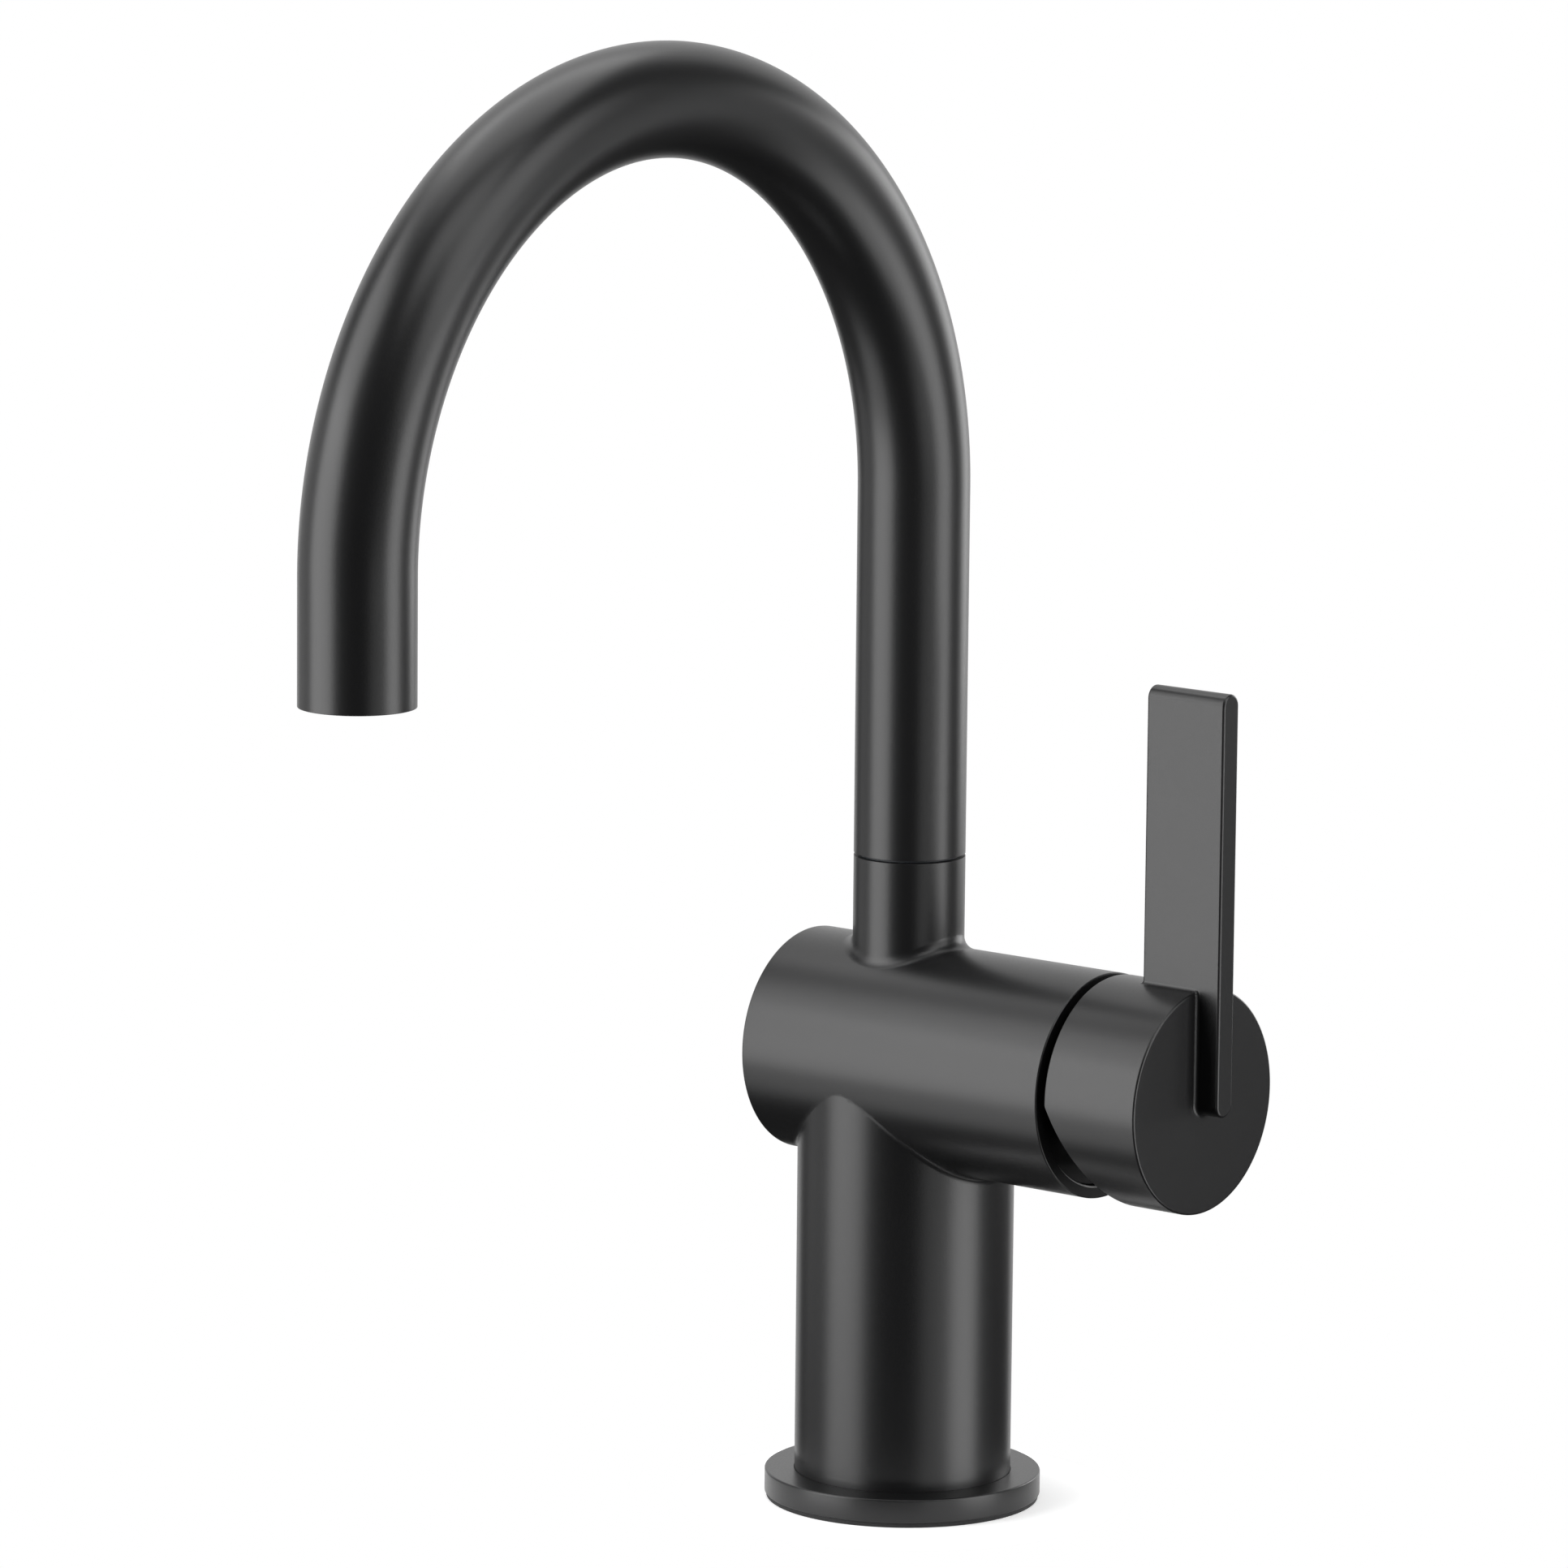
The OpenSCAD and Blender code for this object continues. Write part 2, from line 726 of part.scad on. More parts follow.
// Threaded housing with two slots for a key
module aerator_housing()
    color(DARK_PLASTIC)
        at_outlet()
            difference() {
                disc(aerator_r, aerator_z0, aerator_z1);
                disc(aerator_bore_r, aerator_z0 + aerator_floor, aerator_z1 + cut);
                disc(aerator_bore_r - ledge_w, aerator_z0 - cut, aerator_z1);
                for (side = [0, 180])
                    rotate([0, 0, side])
                        block([aerator_bore_r - key_depth, -key_w / 2, aerator_z0 - cut],
                              [aerator_r + cut, key_w / 2, aerator_z0 + key_depth]);
            }

// Jet plate that draws air into the water
module aerator_insert()
    color(PLASTIC)
        at_outlet()
            difference() {
                disc(aerator_bore_r - slide_gap, insert_z, aerator_z1);
                disc(aerator_bore_r - insert_wall, insert_z - cut, insert_z + insert_h / 2);
                for (i = [0 : jet_count - 1])
                    rotate([0, 0, i * 360 / jet_count])
                        translate([aerator_bore_r - insert_wall - jet_d, 0, insert_z])
                            cylinder(d = jet_d, h = insert_h + cut, $fn = 24);
            }

// Two perforated screens that straighten the stream
module outlet_screens()
    color(STEEL)
        at_outlet()
            for (i = [0, 1])
                translate([0, 0, aerator_z0 + aerator_floor + i * screen_gap])
                    screen();

module screen()
    difference() {
        disc(aerator_bore_r - slide_gap, 0, screen_t);
        translate([0, 0, -cut])
            cylinder(d = screen_hole_d, h = screen_t + 2 * cut, $fn = 24);
        for (k = [1 : screen_rings], i = [0 : 6 * k - 1])
            rotate([0, 0, i * 60 / k])
                translate([k * screen_step, 0, -cut])
                    cylinder(d = screen_hole_d, h = screen_t + 2 * cut, $fn = 24);
    }

// Turning sleeve: holds the tilt pin and guides the carrier
module rotor_sleeve()
    color(DARK_PLASTIC)
        on_seat()
            difference() {
                union() {
                    disc(rotor_r, rotor_x0, rotor_x1);
                    disc(rotor_neck_d / 2, rotor_x1, rotor_top);
                }
                block([-swing_up, -slot_w / 2, rotor_x0 - cut],
                      [swing_down, slot_w / 2, rotor_top + cut]);
                block([-rotor_r - cut, -tongue_w / 2 - slide_gap, rotor_x0 - cut],
                      [rotor_r + cut, tongue_w / 2 + slide_gap, rotor_x0 + tongue_t + free_gap]);
                on_pin()
                    disc(pin_d / 2, -rotor_r, rotor_r);
            }

// Places children with their Z axis along the tilt pin
module on_pin()
    translate([0, 0, pivot_x])
        rotate([90, 0, 0])
            children();

module tilt_pin()
    color(STEEL)
        on_seat()
            on_pin()
                disc(pin_d / 2, -pin_len / 2, pin_len / 2);

// Places children on the axis of the moving disc, which is drawn shut
module on_disc()
    on_seat()
        translate([disc_travel / 2, 0, 0])
            children();

// Carrier that drags the moving disc, with a tongue that slides in the rotor
module disc_carrier()
    color(DARK_PLASTIC)
        difference() {
            on_disc()
                difference() {
                    union() {
                        disc(carrier_d / 2, carrier_x0, carrier_x1);
                        block([-tongue_len / 2, -tongue_w / 2, carrier_x1],
                              [tongue_len / 2, tongue_w / 2, carrier_x1 + tongue_t]);
                    }
                    disc(moving_disc_d / 2 + slide_gap, carrier_x0 - cut, disc_x1);
                }
            on_seat() {
                disc(pocket_r, ball_x - pocket_r, carrier_x1 + tongue_t + cut);
                translate([0, 0, carrier_x1])
                    cylinder(r1 = pocket_r, r2 = pocket_r + pocket_flare, h = 2 * tongue_t);
            }
        }

module moving_disc()
    color(CERAMIC)
        on_disc()
            difference() {
                disc(moving_disc_d / 2, disc_x0, disc_x1);
                intersection() {
                    disc(mix_r, disc_x0 - cut, disc_x0 + mix_depth);
                    block([mix_edge, -mix_r, disc_x0 - cut], [mix_r, mix_r, disc_x1]);
                }
            }

// Brass stem of the cartridge: ball, arm, pin eye and square
module cartridge_stem()
    color(BRASS)
        on_seat()
            difference() {
                union() {
                    translate([0, 0, ball_x])
                        sphere(r = ball_r);
                    disc(arm_r, ball_x, pivot_x);
                    on_pin()
                        disc(eye_r, -stem_sq / 2, stem_sq / 2);
                    block([-stem_sq / 2, -stem_sq / 2, pivot_x],
                          [stem_sq / 2, stem_sq / 2, stem_end_x - seat_x]);
                }
                on_pin()
                    disc(pin_d / 2 + slide_gap, -stem_sq, stem_sq);
            }

// Lever blade with full round ends, from the barrel axis to the tip
module blade()
    difference() {
        union() {
            block([blade_x1 - blade_w, -blade_t / 2, valve_z],
                  [blade_x1, blade_t / 2, valve_z + lever_len - blade_t / 2]);
            for (z = [valve_z, valve_z + lever_len - blade_t / 2])
                translate([blade_x1 - blade_w, 0, z])
                    rotate([0, 90, 0])
                        cylinder(d = blade_t, h = blade_w);
        }
        on_barrel()
            disc(hub_r - hub_wall / 2, hub_x0 - cut, hub_x1 - hub_face / 2);
    }

// Wedge taken off the lower rear of the hub, so that it clears the barrel when tipped
module hub_wedge()
    translate([hub_x0, 0, valve_z])
        rotate([0, -hub_cut_angle, 0])
            block([-hub_d, -hub_d, -2 * hub_d], [0, hub_d, 0]);

// Hub and lever, cast in one piece, with a boss that grips the stem
module handle_casting()
    color(BLACK)
        difference() {
            union() {
                difference() {
                    on_barrel()
                        union() {
                            disc(hub_r, hub_x0, hub_x1 - hub_round);
                            disc(hub_r - hub_round, hub_x0, hub_x1);
                            cord_ring(hub_r - hub_round, 2 * hub_round, hub_x1 - hub_round);
                        }
                    on_barrel()
                        disc(hub_r - hub_wall, hub_x0 - cut, hub_x1 - hub_face);
                    hub_wedge();
                }
                on_barrel()
                    disc(boss_d / 2, boss_x0, boss_x1 + cut);
                blade();
            }
            on_barrel()
                block([-stem_sq / 2 - slide_gap, -stem_sq / 2 - slide_gap, boss_x0 - cut],
                      [stem_sq / 2 + slide_gap, stem_sq / 2 + slide_gap, boss_x1]);
            handle_screw_axis()
                disc(handle_screw_d / 2 + slide_gap, 0, hub_d);
        }

// Places children with their Z axis pointing down out of the hub, along the set screw
module handle_screw_axis()
    translate([(boss_x0 + boss_x1) / 2, 0, valve_z])
        rotate([180, 0, 0])
            children();

module handle_set_screw()
    color(STEEL)
        handle_screw_axis()
            difference() {
                disc(handle_screw_d / 2, stem_sq / 2, stem_sq / 2 + handle_screw_len);
                hex_socket(handle_screw_d, stem_sq / 2 + handle_screw_len - handle_hex_depth,
                           stem_sq / 2 + handle_screw_len + cut);
            }

base_plate();
base_gasket();
body_casting();
chamber_cap();
cartridge_base();
port_seals();
fixed_disc();
cartridge_shell();
rotor_seal();
temperature_ring();
cartridge_nut();
trim_collar();
neck_bearing();
spout_set_screw();
spout_tube();
swivel_stem();
stem_seals();
guide_ring();
outlet_bush();
aerator_seal();
aerator_housing();
aerator_insert();
outlet_screens();
rotor_sleeve();
tilt_pin();
disc_carrier();
moving_disc();
cartridge_stem();
handle_casting();
handle_set_screw();
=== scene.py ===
import json
import math

import bmesh
import bpy
from mathutils import Matrix, Vector


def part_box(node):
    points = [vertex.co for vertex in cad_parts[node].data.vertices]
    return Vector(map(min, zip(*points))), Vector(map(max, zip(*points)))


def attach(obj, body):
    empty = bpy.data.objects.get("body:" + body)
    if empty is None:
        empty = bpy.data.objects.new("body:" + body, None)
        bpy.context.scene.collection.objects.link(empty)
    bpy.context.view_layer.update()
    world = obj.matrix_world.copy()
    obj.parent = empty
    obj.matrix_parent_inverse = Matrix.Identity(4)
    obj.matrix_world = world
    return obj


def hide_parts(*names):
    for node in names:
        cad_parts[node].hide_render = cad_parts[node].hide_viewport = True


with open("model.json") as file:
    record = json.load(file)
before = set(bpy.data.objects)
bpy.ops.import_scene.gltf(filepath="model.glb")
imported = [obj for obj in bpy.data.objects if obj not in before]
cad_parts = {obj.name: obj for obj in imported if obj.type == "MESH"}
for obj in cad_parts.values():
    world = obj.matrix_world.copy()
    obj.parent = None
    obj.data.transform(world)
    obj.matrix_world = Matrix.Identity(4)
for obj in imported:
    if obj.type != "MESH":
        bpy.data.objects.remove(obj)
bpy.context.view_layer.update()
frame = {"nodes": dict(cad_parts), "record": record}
nodes = frame["nodes"]
mm = 0.001
print("frame loaded:", len(nodes), "nodes")

# lowest and highest corners of the solids that the pieces below are fitted to, in metres
bodyLow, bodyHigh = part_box("body_casting")
handleLow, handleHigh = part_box("handle_casting")
spoutLow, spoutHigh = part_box("spout_tube")
collarLow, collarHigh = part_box("trim_collar")
capLow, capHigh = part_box("chamber_cap")
bearingLow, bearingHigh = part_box("neck_bearing")
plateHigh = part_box("base_plate")[1]
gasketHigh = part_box("base_gasket")[1]
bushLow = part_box("outlet_bush")[0]

# the barrel's axis runs along X at this height
valveZ = (capLow.z + capHigh.z) / 2
barrelCentre = (0, 0, valveZ)

# straight pieces in a full circle, and how far a cutter reaches past the surface that it cuts, in mm
around = {"large": 192, "usual": 144, "socket": 96, "bore": 48}
over = 1.0


def hexColour(text):
    # sRGB hex to the linear values that a shader takes
    channels = [int(text[i:i + 2], 16) / 255 for i in (1, 3, 5)]
    return [c / 12.92 if c <= 0.04045 else ((c + 0.055) / 1.055) ** 2.4 for c in channels] + [1]


def addNode(tree, kind, settings=None, **inputs):
    # adds a node, sets its properties, then fills or links its sockets by name or number
    node = tree.nodes.new(kind)
    for name, value in (settings or {}).items():
        setattr(node, name, value)
    for name, value in inputs.items():
        key = int(name[1:]) if name[0] == "_" and name[1:].isdigit() else name.replace("_", " ")
        socket = node.inputs[key]
        if isinstance(value, bpy.types.NodeSocket):
            tree.links.new(value, socket)
        else:
            socket.default_value = value
    return node


def meshObject(name, vertices, faces):
    data = bpy.data.meshes.new(name)
    data.from_pydata([tuple(v) for v in vertices], [], faces)
    obj = bpy.data.objects.new(name, data)
    bpy.context.scene.collection.objects.link(obj)
    return obj


def faceOutwards(obj):
    work = bmesh.new()
    work.from_mesh(obj.data)
    bmesh.ops.recalc_face_normals(work, faces=work.faces)
    work.to_mesh(obj.data)
    work.free()


def roundedLine(points, perQuarter=5, longest=2.5):
    # points are (radius, height, corner) in mm: each corner becomes an arc, long runs are divided
    line = []
    for i, (x, y, corner) in enumerate(points):
        here = Vector((x, y))
        before = Vector(points[i - 1][:2]) if i else None
        after = Vector(points[i + 1][:2]) if i + 1 < len(points) else None
        if corner and before and after:
            a, b = (before - here).normalized(), (after - here).normalized()
            half = a.angle(b) / 2
            centre = here + (a + b).normalized() * corner / math.sin(half)
            start = here + a * corner / math.tan(half) - centre
            turn = math.pi - 2 * half
            side = 1 if a.x * b.y - a.y * b.x < 0 else -1
            count = max(2, round(perQuarter * turn / (math.pi / 2)))
            for k in range(count + 1):
                line.append(centre + Matrix.Rotation(side * turn * k / count, 2) @ start)
        else:
            line.append(here)
    spaced = [line[0]]
    for point in line[1:]:
        origin = spaced[-1]
        pieces = max(1, math.ceil((point - origin).length / longest))
        spaced += [origin.lerp(point, (k + 1) / pieces) for k in range(pieces)]
    return spaced


def turned(name, points, axis="Z", centre=(0, 0, 0), steps=around["usual"], closed=False):
    # turns an outline about Z or about the barrel: open outlines start and end on the axis
    onAxis = 1e-6
    line = roundedLine(points + ([points[0]] if closed else []))
    if closed:
        line = line[:-1]
    vertices, rings = [], []
    for radius, height in line:
        count = 1 if radius < onAxis else steps
        rings.append(list(range(len(vertices), len(vertices) + count)))
        for k in range(count):
            angle = 2 * math.pi * k / steps
            vertices.append(Vector((radius * math.cos(angle), radius * math.sin(angle), height)) * mm)
    faces = []
    pairs = list(zip(rings, rings[1:])) + ([(rings[-1], rings[0])] if closed else [])
    for lower, upper in pairs:
        for k in range(steps):
            n = (k + 1) % steps
            corners = [lower[k % len(lower)], lower[n % len(lower)],
                       upper[n % len(upper)], upper[k % len(upper)]]
            face = list(dict.fromkeys(corners))  # a quad beside the axis becomes a triangle
            if len(face) > 2:
                faces.append(face)
    obj = meshObject(name, vertices, faces)
    if axis == "X":
        # height then runs along +X
        obj.data.transform(Matrix(((0, 0, 1, 0), (0, 1, 0, 0), (-1, 0, 0, 0), (0, 0, 0, 1))))
    obj.data.transform(Matrix.Translation(centre))
    faceOutwards(obj)
    return obj


def lofted(name, rings):
    # joins rings of equal length with quads and closes both ends
    count = len(rings[0])
    vertices = [v for ring in rings for v in ring]
    faces = [list(range(count))[::-1], list(range(len(vertices) - count, len(vertices)))]
    for r in range(len(rings) - 1):
        for k in range(count):
            n = (k + 1) % count
            faces.append([r * count + k, r * count + n, (r + 1) * count + n, (r + 1) * count + k])
    obj = meshObject(name, vertices, faces)
    faceOutwards(obj)
    return obj


def filletRing(name, spine, radius, steps=8, sink=0.012 * mm, depth=0.4 * mm):
    # the fillet that a ball rolls along a joint: spine holds the ball's centre and its two contact directions
    # its edges sink a little into both surfaces and its back lies deeper in, so that the union has no gap
    vertices, faces = [], []
    for centre, first, second in spine:
        opening = first.angle(second)
        section = []
        for k in range(steps + 1):
            t = k / steps
            ray = (first * math.sin((1 - t) * opening) + second * math.sin(t * opening)) / math.sin(opening)
            extra = sink if k in (0, steps) else 0
            section.append(centre + ray * (radius + extra))
        middle = (first + second) / (1 + first.dot(second))
        section.append(centre + middle * radius + middle.normalized() * depth)
        vertices += section
    width = steps + 2
    for i in range(len(spine)):
        j = (i + 1) % len(spine)
        for k in range(width):
            n = (k + 1) % width
            faces.append([i * width + k, i * width + n, j * width + n, j * width + k])
    obj = meshObject(name, vertices, faces)
    faceOutwards(obj)
    return obj


def plainMesh(obj):
    # bakes the modifiers into the mesh and takes them off
    bpy.context.view_layer.update()
    result = bpy.data.meshes.new_from_object(obj.evaluated_get(bpy.context.evaluated_depsgraph_get()))
    obj.modifiers.clear()
    obj.data = result
    return obj


def combine(obj, operation, others):
    # joins the others to the object, or cuts them out of it, and deletes them
    for other in others:
        step = obj.modifiers.new(operation, "BOOLEAN")
        step.operation = operation
        step.solver = "MANIFOLD"
        step.object = other
    plainMesh(obj)
    for other in others:
        bpy.data.objects.remove(other)


def joinClose(obj, closest=0.006 * mm):
    # joins the almost touching corners that cutting leaves behind
    work = bmesh.new()
    work.from_mesh(obj.data)
    bmesh.ops.remove_doubles(work, verts=work.verts, dist=closest)
    bmesh.ops.dissolve_degenerate(work, edges=work.edges, dist=closest)
    work.to_mesh(obj.data)
    work.free()


def smooth(obj, sharpAngle=32):
    joinClose(obj)
    obj.data.polygons.foreach_set("use_smooth", [True] * len(obj.data.polygons))
    obj.data.set_sharp_from_angle(angle=math.radians(sharpAngle))
    # large faces keep their own direction, so that flats and rounds stay even right up to a small edge
    even = obj.modifiers.new("evenNormals", "WEIGHTED_NORMAL")
    even.mode = "FACE_AREA"
    even.keep_sharp = True
    return plainMesh(obj)


def dress(obj, slot, body, replaced):
    # gives a finished piece its finish and the body that it rides on, and hides the CAD node that it stands
    # for
    obj.data.materials.clear()
    obj.data.materials.append(finishes[slot])
    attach(obj, body)
    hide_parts(replaced)
    print("piece:", obj.name, len(obj.data.polygons), "faces")


# how the patterns of all finishes are drawn
pattern = {
    "patchDetail": 3.0,
    "grainDetail": 4.0,
    "grainRoughness": 0.6,
    # the part of the noise that carries the roughness from its lowest to its highest value
    "shineSpan": (0.3, 0.7),
    # depth of the relief as a share of the grain's size
    "reliefDepth": 0.5,
}

# colour and tint are sRGB; roughness is a range; grain and patchSize are real sizes in mm;
# bump is the strength of the relief; streak squeezes the grain along one axis, as cutting or flow does
looks = {
    # satin black powder coat on brass: near black, soft edged reflections, a fine baked grit;
    # the real grit is about 0.05 mm and is drawn at 0.35 mm, because finer would not show
    "black_coat": {
        "name": "satin_black_powder_coat", "colour": "#0f0f10", "tint": "#121213",
        "roughness": (0.31, 0.36), "grain": 0.35, "bump": 0.06,
    },
    # moulded EPDM rubber: black, dull, with a dusty bloom
    "gasket_rubber": {
        "name": "moulded_epdm_rubber", "colour": "#141415", "tint": "#1f1f20",
        "roughness": (0.62, 0.8), "grain": 0.5, "bump": 0.25,
    },
    # moulded acetal: milky white with a soft waxy shine
    "white_acetal": {
        "name": "moulded_white_acetal", "colour": "#dcdcd8", "tint": "#d2d2cc",
        "roughness": (0.32, 0.42), "grain": 0.8, "bump": 0.08,
    },
    # glass filled nylon: charcoal, flow marks of the fibres
    "grey_nylon": {
        "name": "glass_filled_nylon", "colour": "#33363b", "tint": "#3d4146",
        "roughness": (0.42, 0.58), "grain": 0.4, "bump": 0.2, "streak": (1, 1, 3),
    },
    # moulded red nylon: an even signal colour with a satin skin
    "red_nylon": {
        "name": "moulded_red_nylon", "colour": "#a9352a", "tint": "#9c2d24",
        "roughness": (0.36, 0.46), "grain": 0.7, "bump": 0.1,
    },
    # lapped alumina: warm white, close to mirror flat
    "alumina": {
        "name": "lapped_alumina", "colour": "#e8e4da", "tint": "#dfdacd",
        "roughness": (0.12, 0.2), "grain": 0.3, "bump": 0.03, "ior": 1.76,
    },
    # turned brass: yellow metal with the fine rings of the cutting tool
    "raw_brass": {
        "name": "turned_brass", "colour": "#c9a566", "tint": "#bd9757",
        "roughness": (0.2, 0.34), "grain": 0.6, "bump": 0.12, "metallic": 1.0, "streak": (1, 1, 6),
    },
    # tumbled stainless steel: cool grey metal with a soft scratch
    "stainless": {
        "name": "tumbled_stainless_steel", "colour": "#b9bbbe", "tint": "#aaadb0",
        "roughness": (0.24, 0.38), "grain": 0.4, "bump": 0.1, "metallic": 1.0,
    },
}


def surfaceMaterial(name, colour, tint, roughness, grain, bump,
                    metallic=0.0, ior=1.5, patchSize=12.0, streak=(1, 1, 1)):
    # two close colours in soft patches, with a fine grain that moves both the gloss and the relief
    material = bpy.data.materials.new(name)
    material.use_nodes = True
    tree = material.node_tree
    tree.nodes.clear()
    place = addNode(tree, "ShaderNodeTexCoord").outputs["Object"]
    patches = addNode(tree, "ShaderNodeTexNoise", Vector=place, Scale=1 / (patchSize * mm),
                      Detail=pattern["patchDetail"])
    stretched = addNode(tree, "ShaderNodeMapping", Vector=place, Scale=streak).outputs[0]
    relief = addNode(tree, "ShaderNodeTexNoise", Vector=stretched, Scale=1 / (grain * mm),
                     Detail=pattern["grainDetail"], Roughness=pattern["grainRoughness"])
    # sockets 6 and 7 of a Mix node are its two colours, and output 2 is the mixed one
    mixed = addNode(tree, "ShaderNodeMix", {"data_type": "RGBA"}, Factor=patches.outputs["Fac"],
                    _6=hexColour(colour), _7=hexColour(tint))
    low, high = roughness
    first, last = pattern["shineSpan"]
    shine = addNode(tree, "ShaderNodeMapRange", Value=relief.outputs["Fac"], To_Min=low, To_Max=high,
                    From_Min=first, From_Max=last)
    bumps = addNode(tree, "ShaderNodeBump", Height=relief.outputs["Fac"], Strength=bump,
                    Distance=grain * mm * pattern["reliefDepth"])
    shader = addNode(tree, "ShaderNodeBsdfPrincipled", Base_Color=mixed.outputs[2], Metallic=metallic,
                     Roughness=shine.outputs[0], Normal=bumps.outputs[0])
    if not metallic:
        shader.inputs["IOR"].default_value = ior
    addNode(tree, "ShaderNodeOutputMaterial", Surface=shader.outputs[0])
    return material


finishes = {slot: surfaceMaterial(**look) for slot, look in looks.items()}
slotOf = {part["node"]: part["material_slot"] for part in frame["record"]["subparts"]}
for name, obj in nodes.items():
    obj.data.materials.clear()
    obj.data.materials.append(finishes[slotOf[name]])
print("finishes made:", len(finishes))


# column, barrel and neck, cast in one; sizes in mm
body = {
    "columnDiameter": 46.8,
    "columnFillet": 1.8,
    "footEdge": 0.2,
    "neckFillet": 3.0,
    "barrelEdge": 0.35,
    "neckEdge": 0.06,
    # the neck and the spout's foot each reach this far into the joint, which leaves the fine dark line
    "jointReach": 0.1,
    "spineSteps": 240,
    # hollow column, up to the web that holds the stud and the hoses, and the round at its end
    "columnBore": 20.0,
    "web": 66.0,
    "boreRound": 0.6,
    # along the barrel: (radius, from) steps of the cartridge room, and the mixing chamber
    "seat": 22.0,
    "cartridge": (17.6, 43.5),
    "nut": (19.1, 51.2),
    "mouth": 21.5,
    "chamber": (18.0, 6.0),
    "capSeat": (19.5, 4.0),
    # neck: bore for the spout's stem, and the wider seat of the bearing
    "socket": 9.085,
    "bearingSeat": (10.085, 5.1),
    # threaded holes under the web: distance from the axis, radius, depth
    "stud": (-9.0, 3.4, 11.0),
    "hose": ((8.0, 9.0), 4.5, 9.0),
    # waterways: passage and seat bore radius, seat bore length, inlets and outlet on the seat
    "passage": 2.5,
    "seatBore": (3.0, 6.0),
    "inlet": (5.5, 4.0),
    "outlet": -6.5,
    # grub screw at the back of the neck: radius and distance below the neck's top
    "spoutScrew": (2.05, 8.5),
    "screwFunnel": 0.45,
}


def boreAlong(name, start, end, radius):
    # a straight round bore between two points in mm
    start, run = Vector(start), Vector(end) - Vector(start)
    obj = turned(name, [(0, 0, 0), (radius, 0, 0), (radius, run.length, 0), (0, run.length, 0)],
                 steps=around["bore"])
    obj.data.transform(Matrix.Translation(start * mm) @ run.to_track_quat("Z", "Y").to_matrix().to_4x4())
    return obj


def pipeSpine(upright, across, rise, radius, steps):
    # the ball's path where an upright round meets the barrel, above it (rise 1) or below it (rise -1)
    path = []
    for k in range(steps):
        angle = 2 * math.pi * k / steps
        x, y = (upright + radius) * math.cos(angle), (upright + radius) * math.sin(angle)
        z = rise * math.sqrt((across + radius) ** 2 - y * y)
        towardUpright = Vector((-math.cos(angle), -math.sin(angle), 0))
        towardBarrel = Vector((0, -y, -z)).normalized()
        path.append((Vector((x, y, valveZ + z)), towardUpright, towardBarrel))
    return path


def turnedHollows(s, foot, left, right, top):
    # the hollow column, the cartridge room, the mixing chamber and the socket in the neck
    height, bore, web = valveZ / mm, s["columnBore"], s["web"]
    column = [(0, foot - over, 0), (bore, foot - over, 0), (bore, web, s["boreRound"]), (0, web, 0)]
    seat, mouth, lead = s["seat"], s["mouth"], s["barrelEdge"]
    (cartridge, shoulder), (nut, mouthStart) = s["cartridge"], s["nut"]
    wide = mouth + 2 * lead
    room = [(0, seat, 0), (cartridge, seat, 0), (cartridge, shoulder, 0), (nut, shoulder, 0),
            (nut, mouthStart, 0), (mouth, mouthStart, 0), (mouth, right - lead, 0),
            (wide, right + lead, 0), (wide, right + over, 0), (0, right + over, 0)]
    (chamber, chamberEnd), (cap, capDepth) = s["chamber"], s["capSeat"]
    ledge = left + capDepth
    mixing = [(0, left - over, 0), (cap, left - over, 0), (cap, ledge, 0), (chamber, ledge, 0),
              (chamber, chamberEnd, 0), (0, chamberEnd, 0)]
    stem, (bearing, bearingDepth) = s["socket"], s["bearingSeat"]
    step = top - bearingDepth
    socket = [(0, height, 0), (stem, height, 0), (stem, step, 0), (bearing, step, 0),
              (bearing, top + over, 0), (0, top + over, 0)]
    return [turned("bore", column),
            turned("cartridgeRoom", room, "X", barrelCentre),
            turned("chamber", mixing, "X", barrelCentre),
            turned("socket", socket, steps=around["socket"])]


def drilledHoles(s, top, neckRadius):
    # the stud's hole, the hose ports with their waterways, the outlet and the hole for the grub screw
    height, web, seat = valveZ / mm, s["web"], s["seat"]
    studX, studRadius, studDepth = s["stud"]
    made = [boreAlong("stud", (studX, 0, web - over), (studX, 0, web + studDepth), studRadius)]
    (hoseX, hoseY), hoseRadius, hoseDepth = s["hose"]
    seatBore, seatBoreLength = s["seatBore"]
    inletY, inletUp = s["inlet"]
    portEnd = web + hoseDepth
    for side in (-1, 1):
        x, y = hoseX, side * hoseY
        across, up = side * inletY, height + inletUp
        made.append(boreAlong("port", (x, y, web - over), (x, y, portEnd), hoseRadius))
        made.append(boreAlong("passage", (x, y, portEnd - seatBoreLength), (seat - seatBore, across, up),
                              s["passage"]))
        made.append(boreAlong("inlet", (seat - seatBoreLength, across, up), (seat + over, across, up),
                              seatBore))
    chamberEnd, down = s["chamber"][1], height + s["outlet"]
    made.append(boreAlong("outlet", (chamberEnd - over, 0, down), (seat + over, 0, down), seatBore))
    screwRadius, screwDrop = s["spoutScrew"]
    funnel = s["screwFunnel"]
    wide = screwRadius + 2 * funnel
    screw = turned("screwHole", [(0, 0, 0), (screwRadius, 0, 0), (screwRadius, neckRadius - funnel, 0),
                                 (wide, neckRadius + funnel, 0), (wide, neckRadius + over, 0),
                                 (0, neckRadius + over, 0)], steps=around["bore"])
    # its axis points to the back, +Y
    toBack = Matrix.Rotation(-math.pi / 2, 4, "X")
    screw.data.transform(Matrix.Translation((0, 0, (top - screwDrop) * mm)) @ toBack)
    return made + [screw]


